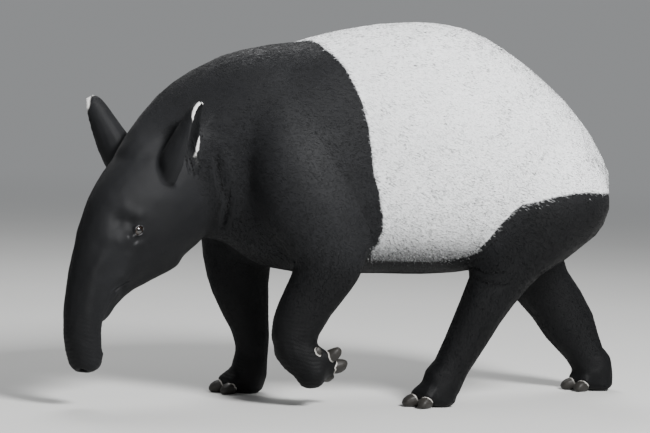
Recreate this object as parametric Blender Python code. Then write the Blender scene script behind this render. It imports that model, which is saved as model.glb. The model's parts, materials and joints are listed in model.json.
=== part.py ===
"""A life-size Malayan tapir, walking with its nose down, as a museum model.

Metres, +Z up. The animal faces -X and its left side is -Y. It stands on three feet, and the left
forefoot is lifted in mid stride. Flesh is lofted limb by limb, fused into one skin, and parted
again with thin cuts, so that each named part meets its neighbour face to face.
"""

import math
from collections import namedtuple

import bmesh
import bpy
import numpy as np
from mathutils import Matrix, Vector

GAP = 0.0003
BACK_HEIGHT = 1.088
FUSE_VOXEL = 0.0085
FUSE_SMOOTHING = 12
SKIN_TRIANGLES = 4700

# The trunk of the body is told in sections along X, each by its top, bottom and half width.
TORSO_AXIS_HEIGHT = 0.66
TORSO_SECTIONS = (
    (-0.36, 0.900, 0.448, 0.150),
    (-0.27, 0.985, 0.388, 0.205),
    (-0.15, 1.030, 0.364, 0.238),
    (-0.02, 1.064, 0.363, 0.266),
    (0.10, 1.083, 0.363, 0.290),
    (0.22, BACK_HEIGHT, 0.362, 0.300),
    (0.34, 1.068, 0.372, 0.296),
    (0.46, 1.005, 0.395, 0.278),
    (0.58, 0.914, 0.432, 0.244),
    (0.66, 0.834, 0.476, 0.200),
    (0.722, 0.748, 0.530, 0.142),
    (0.752, 0.690, 0.575, 0.090),
)

# The head has its own upright plane, turned to the animal's left, with its origin between the eyes.
HEAD_ORIGIN = Vector((-0.64, -0.07, 0.50))
HEAD_YAW = math.radians(27)
HEAD_AHEAD = Vector((-math.cos(HEAD_YAW), -math.sin(HEAD_YAW), 0.0))
HEAD_LEFT = Vector((math.sin(HEAD_YAW), -math.cos(HEAD_YAW), 0.0))
UP = Vector((0.0, 0.0, 1.0))
FORWARD = Vector((-1.0, 0.0, 0.0))

EYE_RADIUS = 0.0175
EYE_AHEAD, EYE_HEIGHT, EYE_SPREAD = 0.058, -0.006, 0.0905
LID_THICKNESS = 0.0042
EAR_THICKNESS = 0.0055

# Each ear is told from root to tip by its radius, how far it curls round, and its place along.
EAR_SECTIONS = (
    (0.040, 136, -0.14),
    (0.049, 132, 0.08),
    (0.047, 126, 0.28),
    (0.041, 116, 0.48),
    (0.036, 102, 0.66),
    (0.031, 88, 0.82),
    (0.023, 76, 0.94),
    (0.011, 66, 1.00),
)

Section = namedtuple("Section", "centre front back half_width square peak", defaults=(2.2, 0.0))


def head_point(ahead, height, left=0.0):
    """A point told in the head's own plane, in the frame of the whole animal."""
    return HEAD_ORIGIN + HEAD_AHEAD * ahead + UP * height + HEAD_LEFT * left


def new_object(name, mesh):
    made = bpy.data.objects.new(name, mesh)
    bpy.context.scene.collection.objects.link(made)
    return made


def mesh_from(bm, name):
    mesh = bpy.data.meshes.new(name)
    bm.to_mesh(mesh)
    bm.free()
    return mesh


def smooth_through(rows, steps):
    """Catmull-Rom curve through rows of numbers, with steps intervals between each two of them."""
    rows = np.array(rows, float)
    before = 2 * rows[0] - rows[1]
    after = 2 * rows[-1] - rows[-2]
    knots = np.vstack((before, rows, after))
    made = []
    for i in range(1, len(knots) - 2):
        p0, p1, p2, p3 = knots[i - 1 : i + 3]
        for k in range(steps):
            t = k / steps
            made.append(
                0.5
                * (
                    2 * p1
                    + (p2 - p0) * t
                    + (2 * p0 - 5 * p1 + 4 * p2 - p3) * t**2
                    + (3 * p1 - p0 - 3 * p2 + p3) * t**3
                )
            )
    made.append(rows[-1])
    return np.array(made)


def signed_power(value, exponent):
    return math.copysign(abs(value) ** exponent, value)


def ring_points(row, tangent, facing, sides, shrink=1.0, shift=0.0):
    """One rounded section: facing is the way its front looks, square how boxy it is."""
    centre = Vector(row[0:3]) + tangent * shift
    front, back, half_width, square, peak = row[3:8]
    across = tangent.cross(facing).normalized()
    ahead = across.cross(tangent).normalized()
    points = []
    for i in range(sides):
        turn = 2 * math.pi * i / sides
        c, s = math.cos(turn), math.sin(turn)
        reach = front if s > 0 else back
        narrow = 1 - peak * max(s, 0.0) ** 2
        points.append(
            centre
            + across * (half_width * narrow * shrink * signed_power(c, 2 / square))
            + ahead * (reach * shrink * signed_power(s, 2 / square))
        )
    return points


def loft(name, sections, facing, sides=24, steps=4, round_start=0.03, round_end=0.03, domes=4):
    """A closed body through sections, with a dome of the given height at each end."""
    rows = smooth_through(
        [(*s.centre, s.front, s.back, s.half_width, s.square, s.peak) for s in sections], steps
    )
    tangents = [Vector(t).normalized() for t in np.gradient(rows[:, 0:3], axis=0)]
    rings = []
    for k in range(1, domes):
        angle = math.pi / 2 * k / domes
        shift = -round_start * math.cos(angle)
        rings.append(ring_points(rows[0], tangents[0], facing, sides, math.sin(angle), shift))
    for row, tangent in zip(rows, tangents):
        rings.append(ring_points(row, tangent, facing, sides))
    for k in range(domes - 1, 0, -1):
        angle = math.pi / 2 * k / domes
        shift = round_end * math.cos(angle)
        rings.append(ring_points(rows[-1], tangents[-1], facing, sides, math.sin(angle), shift))
    start_pole = Vector(rows[0][0:3]) - tangents[0] * round_start
    end_pole = Vector(rows[-1][0:3]) + tangents[-1] * round_end

    bm = bmesh.new()
    loops = [[bm.verts.new(p) for p in ring] for ring in rings]
    for lower, upper in zip(loops, loops[1:]):
        for i in range(sides):
            j = (i + 1) % sides
            bm.faces.new((lower[i], lower[j], upper[j], upper[i]))
    for loop, pole in ((loops[0], start_pole), (loops[-1], end_pole)):
        tip = bm.verts.new(pole)
        for i in range(sides):
            bm.faces.new((loop[i], loop[(i + 1) % sides], tip))
    bmesh.ops.recalc_face_normals(bm, faces=bm.faces)
    return new_object(name, mesh_from(bm, name))


def ball(name, centre, radii, turn=None, segments=24, rings=14):
    bm = bmesh.new()
    bmesh.ops.create_uvsphere(bm, u_segments=segments, v_segments=rings, radius=1.0)
    matrix = Matrix.Translation(centre) @ (turn or Matrix.Identity(4)) @ Matrix.Diagonal((*radii, 1.0))
    bmesh.ops.transform(bm, matrix=matrix, verts=bm.verts)
    return new_object(name, mesh_from(bm, name))


def evaluated(obj, name=None):
    """A plain object with obj's modifiers worked in, which takes obj's place."""
    graph = bpy.context.evaluated_depsgraph_get()
    mesh = bpy.data.meshes.new_from_object(obj.evaluated_get(graph))
    kept = name or obj.name
    bpy.data.objects.remove(obj)
    made = new_object(kept, mesh)
    made.name = kept
    mesh.name = kept
    return made


def copy_of(obj, name):
    made = obj.copy()
    made.data = obj.data.copy()
    bpy.context.scene.collection.objects.link(made)
    made.name = name
    return made


def grown(obj, by, name):
    """A copy of obj with its surface moved out by a distance."""
    made = copy_of(obj, name)
    swell = made.modifiers.new("swell", "DISPLACE")
    swell.strength = by
    swell.mid_level = 0.0
    return evaluated(made, name)


def is_closed(obj):
    """True where every edge has two faces and no two surfaces meet at a point."""
    bm = bmesh.new()
    bm.from_mesh(obj.data)
    closed = all(e.is_manifold and e.is_contiguous for e in bm.edges)
    closed = closed and all(v.is_manifold for v in bm.verts)
    bm.free()
    return closed


def boolean(target, other, operation):
    """Cuts or joins; where that leaves an open edge, tries the other solver and a hair's shift."""
    name = target.name
    trial = None
    for shift in (0.0, 0.00002, -0.00003, 0.00005):
        for solver in ("EXACT", "MANIFOLD"):
            if trial:
                bpy.data.objects.remove(trial)
            trial = copy_of(target, name + "_trial")
            other.location = (shift, -shift, shift)
            modifier = trial.modifiers.new(operation.lower(), "BOOLEAN")
            modifier.operation = operation
            modifier.solver = solver
            modifier.object = other
            trial.modifiers.new("triangles", "TRIANGULATE")
            trial = evaluated(trial)
            if is_closed(trial):
                bpy.data.objects.remove(target)
                trial.name = name
                trial.data.name = name
                return trial
    raise RuntimeError(f"{operation} on {name} leaves an open edge")


def largest_shell(obj):
    """Drops whatever loose scrap a Boolean leaves, and keeps the largest closed surface."""
    bm = bmesh.new()
    bm.from_mesh(obj.data)
    left = set(bm.verts)
    shells = []
    while left:
        stack = [left.pop()]
        shell = set(stack)
        while stack:
            for edge in stack.pop().link_edges:
                for vert in edge.verts:
                    if vert not in shell:
                        shell.add(vert)
                        left.discard(vert)
                        stack.append(vert)
        shells.append(shell)
    shells.sort(key=len, reverse=True)
    scraps = [v for shell in shells[1:] for v in shell]
    bmesh.ops.delete(bm, geom=scraps, context="VERTS")
    bm.to_mesh(obj.data)
    bm.free()
    return obj


def fuse(name, pieces):
    """Joins overlapping bodies into one smooth skin of even, light triangles."""
    bm = bmesh.new()
    for piece in pieces:
        bm.from_mesh(piece.data)
        bpy.data.objects.remove(piece)
    body = new_object(name, mesh_from(bm, name))
    remesh = body.modifiers.new("one skin", "REMESH")
    remesh.mode = "VOXEL"
    remesh.voxel_size = FUSE_VOXEL
    blend = body.modifiers.new("blend creases", "SMOOTH")
    blend.factor = 0.5
    blend.iterations = FUSE_SMOOTHING
    body = largest_shell(evaluated(body))
    lighten = body.modifiers.new("lighten", "DECIMATE")
    faces = sum(len(p.vertices) - 2 for p in body.data.polygons)
    lighten.ratio = SKIN_TRIANGLES / faces
    return evaluated(body)


def torso():
    middle = TORSO_AXIS_HEIGHT
    sections = [
        Section((x, 0.0, middle), top - middle, middle - bottom, half, 2.25)
        for x, top, bottom, half in TORSO_SECTIONS
    ]
    return loft("torso_form", sections, UP, sides=40, round_start=0.05, round_end=0.022)


def neck():
    sections = [
        Section((-0.10, 0.0, 0.71), 0.32, 0.32, 0.215),
        Section((-0.25, 0.0, 0.705), 0.305, 0.30, 0.200),
        Section((-0.36, 0.0, 0.69), 0.282, 0.26, 0.172, 2.2, 0.20),
        Section((-0.45, -0.003, 0.67), 0.245, 0.228, 0.146, 2.2, 0.36),
        Section((-0.53, -0.016, 0.635), 0.195, 0.200, 0.122, 2.2, 0.40),
        Section((-0.60, -0.048, 0.58), 0.160, 0.175, 0.116, 2.2, 0.34),
    ]
    return loft("neck_form", sections, UP, sides=32)


def skull_and_snout():
    """The head from the back of the skull to the tip of the short trunk, along one bending line."""
    line = (
        (-0.17, 0.160, 0.165, 0.195, 0.132, 0.34),
        (-0.10, 0.100, 0.172, 0.188, 0.134, 0.32),
        (-0.04, 0.040, 0.171, 0.176, 0.126, 0.22),
        (0.02, -0.020, 0.159, 0.152, 0.110, 0.22),
        (0.07, -0.075, 0.131, 0.112, 0.090, 0.16),
        (0.112, -0.130, 0.101, 0.082, 0.073, 0.10),
        (0.146, -0.185, 0.073, 0.060, 0.060, 0.05),
        (0.163, -0.240, 0.059, 0.050, 0.055, 0.0),
        (0.165, -0.295, 0.054, 0.047, 0.052, 0.0),
        (0.159, -0.345, 0.050, 0.045, 0.050, 0.0),
        (0.152, -0.380, 0.044, 0.043, 0.048, 0.0),
    )
    sections = [
        Section(head_point(ahead, height), front, back, half, 2.3, peak)
        for ahead, height, front, back, half, peak in line
    ]
    return loft("head_form", sections, HEAD_AHEAD + UP * 0.5, sides=32, round_end=0.024)


def lower_jaw():
    line = (
        (-0.090, -0.070, 0.070, 0.067, 0.088),
        (-0.030, -0.115, 0.050, 0.047, 0.066),
        (0.030, -0.152, 0.036, 0.036, 0.048),
        (0.078, -0.192, 0.026, 0.032, 0.037),
        (0.100, -0.226, 0.018, 0.029, 0.029),
        (0.108, -0.250, 0.014, 0.023, 0.023),
    )
    sections = [
        Section(head_point(ahead, height), front, back, half)
        for ahead, height, front, back, half in line
    ]
    return loft("jaw_form", sections, HEAD_AHEAD + UP, sides=24, round_end=0.014)


def limb(name, side, line, end=0.02):
    """A leg from shoulder or hip down.

    Each row is x, distance from the midline, height, front, back and half width.
    """
    sections = [
        Section((x, side * off, height), front, back, half, 2.15)
        for x, off, height, front, back, half in line
    ]
    return loft(name, sections, FORWARD, sides=24, round_start=0.08, round_end=end)


LEFT, RIGHT = -1, 1

FORELEG_STANDING = (
    (-0.215, 0.085, 0.880, 0.110, 0.120, 0.080),
    (-0.250, 0.140, 0.740, 0.130, 0.130, 0.092),
    (-0.270, 0.168, 0.600, 0.134, 0.130, 0.092),
    (-0.277, 0.178, 0.480, 0.120, 0.115, 0.080),
    (-0.280, 0.172, 0.380, 0.104, 0.100, 0.068),
    (-0.272, 0.162, 0.298, 0.085, 0.085, 0.058),
    (-0.2425, 0.152, 0.182, 0.056, 0.056, 0.049),
    (-0.2375, 0.148, 0.094, 0.047, 0.047, 0.046),
    (-0.242, 0.148, 0.050, 0.050, 0.050, 0.054),
)
FORELEG_LIFTED = (
    (-0.195, 0.085, 0.880, 0.110, 0.120, 0.080),
    (-0.205, 0.145, 0.740, 0.134, 0.130, 0.092),
    (-0.185, 0.175, 0.620, 0.140, 0.134, 0.098),
    (-0.120, 0.190, 0.505, 0.132, 0.125, 0.088),
    (-0.092, 0.190, 0.425, 0.118, 0.094, 0.077),
    (-0.110, 0.184, 0.366, 0.102, 0.079, 0.067),
    (-0.149, 0.176, 0.302, 0.087, 0.071, 0.057),
    (-0.181, 0.171, 0.237, 0.078, 0.067, 0.053),
    (-0.198, 0.169, 0.190, 0.066, 0.064, 0.053),
)
HINDLEG_AHEAD = (
    (0.500, 0.105, 0.790, 0.120, 0.110, 0.090),
    (0.512, 0.148, 0.700, 0.170, 0.165, 0.120),
    (0.515, 0.165, 0.600, 0.190, 0.214, 0.126),
    (0.480, 0.180, 0.505, 0.168, 0.152, 0.110),
    (0.432, 0.186, 0.420, 0.116, 0.094, 0.090),
    (0.388, 0.182, 0.348, 0.083, 0.078, 0.074),
    (0.350, 0.176, 0.276, 0.068, 0.068, 0.060),
    (0.310, 0.168, 0.190, 0.060, 0.060, 0.051),
    (0.272, 0.163, 0.115, 0.052, 0.052, 0.047),
    (0.252, 0.160, 0.060, 0.049, 0.050, 0.053),
)
HINDLEG_BEHIND = (
    (0.520, 0.105, 0.790, 0.120, 0.110, 0.090),
    (0.535, 0.148, 0.700, 0.170, 0.150, 0.120),
    (0.545, 0.163, 0.600, 0.185, 0.180, 0.126),
    (0.570, 0.176, 0.500, 0.168, 0.140, 0.110),
    (0.612, 0.181, 0.415, 0.136, 0.102, 0.094),
    (0.660, 0.180, 0.337, 0.110, 0.076, 0.078),
    (0.706, 0.176, 0.264, 0.093, 0.079, 0.066),
    (0.745, 0.170, 0.192, 0.082, 0.080, 0.056),
    (0.785, 0.165, 0.118, 0.057, 0.064, 0.048),
    (0.820, 0.162, 0.058, 0.050, 0.058, 0.053),
)


def lifted_hand():
    """The wrist and palm of the lifted forefoot, folded back under the forearm."""
    sections = [
        Section((-0.203, LEFT * 0.169, 0.180), 0.058, 0.054, 0.053),
        Section((-0.172, LEFT * 0.168, 0.142), 0.057, 0.055, 0.054),
        Section((-0.138, LEFT * 0.167, 0.121), 0.050, 0.053, 0.052),
    ]
    return loft("hand_form", sections, Vector((-0.6, 0.0, -0.8)), sides=20, round_end=0.028)


# Toes are told by their angle from straight ahead, their reach from the foot's middle, and their size.
Toe = namedtuple("Toe", "name angle reach thickness hoof_length hoof_half_width hoof_height lift")
FORE_TOES = (
    Toe("inner", -37, 0.070, 0.0230, 0.037, 0.0170, 0.036, 0.0),
    Toe("middle", 0, 0.078, 0.0250, 0.041, 0.0205, 0.040, 0.0),
    Toe("outer", 37, 0.070, 0.0230, 0.037, 0.0170, 0.036, 0.0),
    Toe("side", 82, 0.052, 0.0180, 0.029, 0.0130, 0.028, 0.012),
)
HIND_TOES = (
    Toe("inner", -36, 0.069, 0.0230, 0.037, 0.0170, 0.036, 0.0),
    Toe("middle", 0, 0.077, 0.0250, 0.041, 0.0205, 0.040, 0.0),
    Toe("outer", 36, 0.069, 0.0230, 0.037, 0.0170, 0.036, 0.0),
)

# A foot's stance is how high its ankle stands over the sole: less in the lifted foot, whose toes hang.
Foot = namedtuple("Foot", "name side toes frame stance")
STANDING, HANGING = 1.0, 0.62


def foot_frame(x, y, z=0.0, ahead=FORWARD, top=UP):
    """A foot's own frame: +X to the toes, +Y to the animal's left, +Z out of the top of the foot."""
    ahead = ahead.normalized()
    left = top.cross(ahead).normalized()
    top = ahead.cross(left).normalized()
    turn = Matrix((ahead, left, top)).transposed().to_4x4()
    return Matrix.Translation((x, y, z)) @ turn


def toed_out(side, degrees):
    """Straight ahead, turned a little away from the midline."""
    angle = math.radians(degrees)
    return Vector((-math.cos(angle), side * math.sin(angle), 0.0))


FEET = (
    Foot(
        "forefoot_right",
        RIGHT,
        FORE_TOES,
        foot_frame(-0.250, RIGHT * 0.148, ahead=toed_out(RIGHT, 6)),
        STANDING,
    ),
    Foot(
        "forefoot_left",
        LEFT,
        FORE_TOES,
        foot_frame(-0.144, LEFT * 0.143, 0.128, Vector((1.0, 0.0, -0.02)), Vector((-0.10, -0.75, -0.65))),
        HANGING,
    ),
    Foot(
        "hindfoot_left",
        LEFT,
        HIND_TOES,
        foot_frame(0.238, LEFT * 0.160, ahead=toed_out(LEFT, 5)),
        STANDING,
    ),
    Foot(
        "hindfoot_right",
        RIGHT,
        HIND_TOES,
        foot_frame(0.834, RIGHT * 0.162, ahead=toed_out(RIGHT, 5)),
        STANDING,
    ),
)


def toe_direction(foot, toe):
    """Outer toes lie on the side of the foot that is away from the midline."""
    angle = math.radians(toe.angle) * -foot.side
    return Vector((math.cos(angle), math.sin(angle), 0.0))


def foot_forms(foot):
    """The pad and toes of one foot, before they are fused with the leg."""
    turn = foot.frame.to_3x3()
    front = turn @ Vector((1.0, 0.0, 0.0))
    forms = []
    pad = [
        Section(foot.frame @ Vector((0.0, 0.0, height * foot.stance)), radius, radius * 0.95, radius * 1.02)
        for height, radius in ((0.095, 0.044), (0.050, 0.050), (0.012, 0.051))
    ]
    forms.append(loft(foot.name + "_pad", pad, front, sides=20, round_end=0.016))
    for toe in foot.toes:
        along = toe_direction(foot, toe)
        top = turn @ Vector((0.0, 0.0, 1.0))
        stops = ((0.012, 0.062, 1.15), (0.55 * toe.reach, 0.044, 1.08), (0.95 * toe.reach, 0.026, 0.95))
        sections = []
        for distance, height, scale in stops:
            size = toe.thickness * scale
            centre = along * distance + Vector((0.0, 0.0, height * foot.stance + toe.lift))
            sections.append(Section(foot.frame @ centre, size, size, size))
        forms.append(loft(f"{foot.name}_{toe.name}", sections, top, sides=16, round_end=0.012))
    return forms


def hoof(foot, toe, swell=0.0):
    """One broad blunt hoof: a sloping wall over a flat sole, its root set back into the toe.

    With a swell it is the bed in the toe that the hoof sits in.
    """
    along = toe_direction(foot, toe)
    turn = foot.frame.to_3x3()
    top = turn @ Vector((0.0, 0.0, 1.0))
    tall, half, long = toe.hoof_height, toe.hoof_half_width, toe.hoof_length
    profile = (
        (0.0, 1.00, 0.92),
        (0.35, 0.96, 1.0),
        (0.65, 0.84, 0.98),
        (0.88, 0.66, 0.88),
        (1.0, 0.46, 0.70),
    )
    sections = []
    for share, height, breadth in profile:
        distance = toe.reach - 0.35 * long + share * long
        rise = 0.5 * tall * height
        centre = along * distance + Vector((0.0, 0.0, rise - 0.0008 + toe.lift))
        reach = rise + swell
        sections.append(Section(foot.frame @ centre, reach, reach, half * breadth + swell, 2.7))
    return loft(
        f"hoof_{foot.name}_{toe.name}",
        sections,
        top,
        sides=12,
        steps=1,
        round_start=0.008 + swell,
        round_end=0.006 + swell,
        domes=2,
    )


def cut_flat_at_floor(obj, height=0.0):
    """Takes off what lies below the floor and closes the sole with a flat face."""
    bm = bmesh.new()
    bm.from_mesh(obj.data)
    cut = bmesh.ops.bisect_plane(
        bm,
        geom=bm.verts[:] + bm.edges[:] + bm.faces[:],
        plane_co=(0.0, 0.0, height),
        plane_no=(0.0, 0.0, 1.0),
        clear_inner=True,
    )
    rim = [e for e in cut["geom_cut"] if isinstance(e, bmesh.types.BMEdge)]
    bmesh.ops.holes_fill(bm, edges=rim, sides=0)
    bmesh.ops.triangulate(bm, faces=bm.faces)
    bmesh.ops.recalc_face_normals(bm, faces=bm.faces)
    bm.to_mesh(obj.data)
    bm.free()
    return obj


def ear_form(name, root, tip, opening):
    """A cupped oval leaf, rolled nearly shut at its root and open towards its tip."""
    axis = (tip - root).normalized()
    opening = (opening - axis * opening.dot(axis)).normalized()
    across = axis.cross(opening)
    around = 10
    bm = bmesh.new()
    grid = []
    for radius, curl, along in smooth_through(EAR_SECTIONS, 2):
        middle = root.lerp(tip, along)
        row = []
        for j in range(around + 1):
            turn = math.radians(curl) * (2 * j / around - 1)
            bowed = across * math.sin(turn) - opening * math.cos(turn)
            row.append(bm.verts.new(middle + bowed * radius))
        grid.append(row)
    for low, high in zip(grid, grid[1:]):
        for j in range(around):
            bm.faces.new((low[j], low[j + 1], high[j + 1], high[j]))
    bmesh.ops.recalc_face_normals(bm, faces=bm.faces)
    ear = new_object(name, mesh_from(bm, name))
    wall = ear.modifiers.new("wall", "SOLIDIFY")
    wall.thickness = EAR_THICKNESS
    wall.offset = 0.0
    wall.use_even_offset = False
    return evaluated(ear)


def tube(name, points, radii, sides=8, tip=0.004):
    """A thin tapering ridge or groove along points."""
    sections = [Section(p, r, r, r, 2.0) for p, r in zip(points, radii)]
    facing = (points[-1] - points[0]).normalized().orthogonal()
    return loft(name, sections, facing, sides=sides, steps=2, round_start=tip, round_end=tip, domes=2)


def eye_centre(side):
    return head_point(EYE_AHEAD, EYE_HEIGHT, EYE_SPREAD * -side)


def eyelids(side):
    """An upper and a lower lid, each a tapered rim bowed over the eyeball."""
    centre = eye_centre(side)
    out = HEAD_LEFT * -side
    front = (HEAD_AHEAD * 0.80 - UP * 0.60).normalized()
    top = front.cross(out)
    if top.z < 0:
        top = -top
    lids = []
    for name, rise, weight in (("upper", 0.60, 1.25), ("lower", -0.50, 0.9)):
        points, radii = [], []
        for k in range(6):
            t = -1 + 2 * k / 5
            along = front * (t * EYE_RADIUS * 1.05)
            bow = top * (rise * EYE_RADIUS * (1 - t * t))
            depth = math.sqrt(max(1.12 - 0.62 * t * t - (rise * (1 - t * t)) ** 2, 0.05))
            points.append(centre + along + bow + out * (EYE_RADIUS * depth * 0.93))
            radii.append(LID_THICKNESS * weight * (1 - 0.45 * t * t))
        lids.append(tube(f"lid_{name}", points, radii))
    return lids


def mouth_cutter(side):
    """The line of the mouth, from its corner down to the tip of the lower lip."""
    route = (
        (0.018, -0.148, 0.064),
        (0.052, -0.172, 0.056),
        (0.090, -0.208, 0.044),
        (0.112, -0.238, 0.030),
        (0.124, -0.262, 0.012),
    )
    points = [head_point(a, b, off * -side) for a, b, off in route]
    return tube("mouth_cut", points, (0.0035, 0.0045, 0.0045, 0.0045, 0.004))


def nostril_cutter(side):
    """A slit that curls over the side of the snout's tip."""
    turn = Matrix.Rotation(math.radians(-24 * side), 4, HEAD_AHEAD)
    centre = head_point(0.176, -0.394, -side * 0.021)
    return ball("nostril_cut", centre, (0.013, 0.0065, 0.017), turn, 10, 6)


def tail():
    """A short stub that lies against the rump."""
    sections = [
        Section((0.728, 0.0, 0.712), 0.020, 0.022, 0.025),
        Section((0.761, 0.0, 0.676), 0.017, 0.018, 0.021),
        Section((0.777, 0.0, 0.636), 0.014, 0.014, 0.017),
        Section((0.781, 0.0, 0.596), 0.010, 0.010, 0.012),
    ]
    return loft("tail", sections, UP, sides=12, steps=2, round_end=0.010, domes=2)


def half_space(point, normal):
    """Makes a big block whose one face passes through point and whose body lies along normal."""
    normal = Vector(normal).normalized()
    turn = normal.to_track_quat("Z", "Y").to_matrix().to_4x4()

    def block(swell):
        bm = bmesh.new()
        bmesh.ops.create_cube(bm, size=2.0)
        start = Matrix.Translation(Vector(point) - normal * swell)
        place = start @ turn @ Matrix.Translation((0.0, 0.0, 1.0))
        bmesh.ops.transform(bm, matrix=place, verts=bm.verts)
        return new_object("cutter", mesh_from(bm, "cutter"))

    return block


def leg_sleeve(side, line):
    """Makes a loose sleeve round one leg, domed over the shoulder or thigh, where the leg is parted."""

    def sleeve(swell):
        sections = [
            Section((x, side * off, height), front + swell, back + swell, half + swell, 2.2)
            for x, off, height, front, back, half in line
        ]
        return loft(
            "cutter",
            sections,
            FORWARD,
            sides=20,
            steps=2,
            round_start=0.10 + swell,
            round_end=0.05,
            domes=3,
        )

    return sleeve


def part_off(body, name, cutter):
    """Parts what lies inside a cutter from body, with a thin gap between the two."""
    tight, wide = cutter(0.0), cutter(GAP)
    piece = boolean(copy_of(body, name), tight, "INTERSECT")
    rest = boolean(body, wide, "DIFFERENCE")
    bpy.data.objects.remove(tight)
    bpy.data.objects.remove(wide)
    return largest_shell(piece), largest_shell(rest)


def shaded(obj, material):
    obj.data.materials.clear()
    obj.data.materials.append(material)
    for polygon in obj.data.polygons:
        polygon.use_smooth = True
    obj.data.set_sharp_from_angle(angle=math.radians(50))
    return obj


def finish_material(name, colour, roughness):
    material = bpy.data.materials.new(name)
    material.use_nodes = True
    surface = material.node_tree.nodes["Principled BSDF"]
    surface.inputs["Base Color"].default_value = (*colour, 1.0)
    surface.inputs["Roughness"].default_value = roughness
    return material


SLEEVES = {
    "foreleg_right": (
        RIGHT,
        (
            (-0.270, 0.290, 0.560, 0.130, 0.150, 0.110),
            (-0.280, 0.230, 0.440, 0.150, 0.150, 0.130),
            (-0.280, 0.200, 0.340, 0.150, 0.140, 0.130),
            (-0.260, 0.180, 0.180, 0.150, 0.140, 0.130),
            (-0.260, 0.170, -0.060, 0.150, 0.140, 0.130),
        ),
    ),
    "foreleg_left": (
        LEFT,
        (
            (-0.140, 0.290, 0.560, 0.150, 0.150, 0.110),
            (-0.110, 0.235, 0.450, 0.150, 0.140, 0.130),
            (-0.120, 0.205, 0.350, 0.130, 0.130, 0.130),
            (-0.150, 0.190, 0.200, 0.140, 0.160, 0.130),
            (-0.150, 0.190, -0.060, 0.150, 0.160, 0.130),
        ),
    ),
    "hindleg_left": (
        LEFT,
        (
            (0.520, 0.310, 0.620, 0.170, 0.200, 0.140),
            (0.470, 0.245, 0.500, 0.170, 0.210, 0.150),
            (0.400, 0.205, 0.360, 0.150, 0.150, 0.140),
            (0.320, 0.185, 0.180, 0.140, 0.150, 0.130),
            (0.240, 0.180, -0.060, 0.180, 0.180, 0.130),
        ),
    ),
    "hindleg_right": (
        RIGHT,
        (
            (0.550, 0.310, 0.620, 0.170, 0.200, 0.140),
            (0.570, 0.245, 0.500, 0.180, 0.190, 0.150),
            (0.650, 0.205, 0.360, 0.180, 0.170, 0.140),
            (0.745, 0.185, 0.180, 0.170, 0.150, 0.130),
            (0.830, 0.180, -0.060, 0.200, 0.160, 0.130),
        ),
    ),
}

# Where each foot is parted from its leg: a point on the cut, and the way down the leg.
ANKLES = {
    "forefoot_right": ("foreleg_right", (-0.240, 0.150, 0.118), (0.10, 0.0, -1.0)),
    "forefoot_left": ("foreleg_left", (-0.176, -0.170, 0.158), (0.53, 0.0, -0.85)),
    "hindfoot_left": ("hindleg_left", (0.278, -0.165, 0.122), (-0.38, 0.0, -1.0)),
    "hindfoot_right": ("hindleg_right", (0.782, 0.165, 0.122), (0.50, 0.0, -1.0)),
}


def flesh():
    """Every soft form fused into one skin, with flat soles on the floor."""
    pieces = [
        torso(),
        neck(),
        skull_and_snout(),
        lower_jaw(),
        limb("foreleg_right_form", RIGHT, FORELEG_STANDING),
        limb("foreleg_left_form", LEFT, FORELEG_LIFTED, end=0.045),
        limb("hindleg_left_form", LEFT, HINDLEG_AHEAD),
        limb("hindleg_right_form", RIGHT, HINDLEG_BEHIND),
        lifted_hand(),
    ]
    for foot in FEET:
        pieces += foot_forms(foot)
    return cut_flat_at_floor(fuse("torso", pieces))


def parted(body):
    """The fused skin divided into its named parts."""
    parts = {}
    for name, (side, line) in SLEEVES.items():
        parts[name], body = part_off(body, name, leg_sleeve(side, line))
    for name, (leg, point, down) in ANKLES.items():
        parts[name], parts[leg] = part_off(parts[leg], name, half_space(point, down))
    parts["neck"], body = part_off(body, "neck", half_space((-0.372, 0.0, 0.70), (-1.0, 0.0, -0.16)))
    jowl = half_space(head_point(-0.125, 0.09), HEAD_AHEAD * 0.86 - UP * 0.52)
    parts["head"], parts["neck"] = part_off(parts["neck"], "head", jowl)
    nose = half_space(head_point(0.121, -0.272), HEAD_AHEAD * 0.72 - UP * 0.69)
    parts["snout"], parts["head"] = part_off(parts["head"], "snout", nose)
    parts["torso"] = body
    body.name = "torso"
    return parts


def add_eyes(parts):
    for side, name in ((LEFT, "left"), (RIGHT, "right")):
        for lid in eyelids(side):
            parts["head"] = boolean(parts["head"], lid, "UNION")
            bpy.data.objects.remove(lid)
        eye = ball(f"eye_{name}", eye_centre(side), (EYE_RADIUS,) * 3, None, 14, 9)
        socket = grown(eye, GAP, "socket")
        parts["head"] = boolean(parts["head"], socket, "DIFFERENCE")
        bpy.data.objects.remove(socket)
        parts[eye.name] = eye


def add_mouth_and_nostrils(parts):
    for side in (LEFT, RIGHT):
        line = mouth_cutter(side)
        parts["head"] = boolean(parts["head"], line, "DIFFERENCE")
        bpy.data.objects.remove(line)
        slit = nostril_cutter(side)
        parts["snout"] = boolean(parts["snout"], slit, "DIFFERENCE")
        bpy.data.objects.remove(slit)
    largest_shell(parts["head"])
    largest_shell(parts["snout"])


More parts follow.
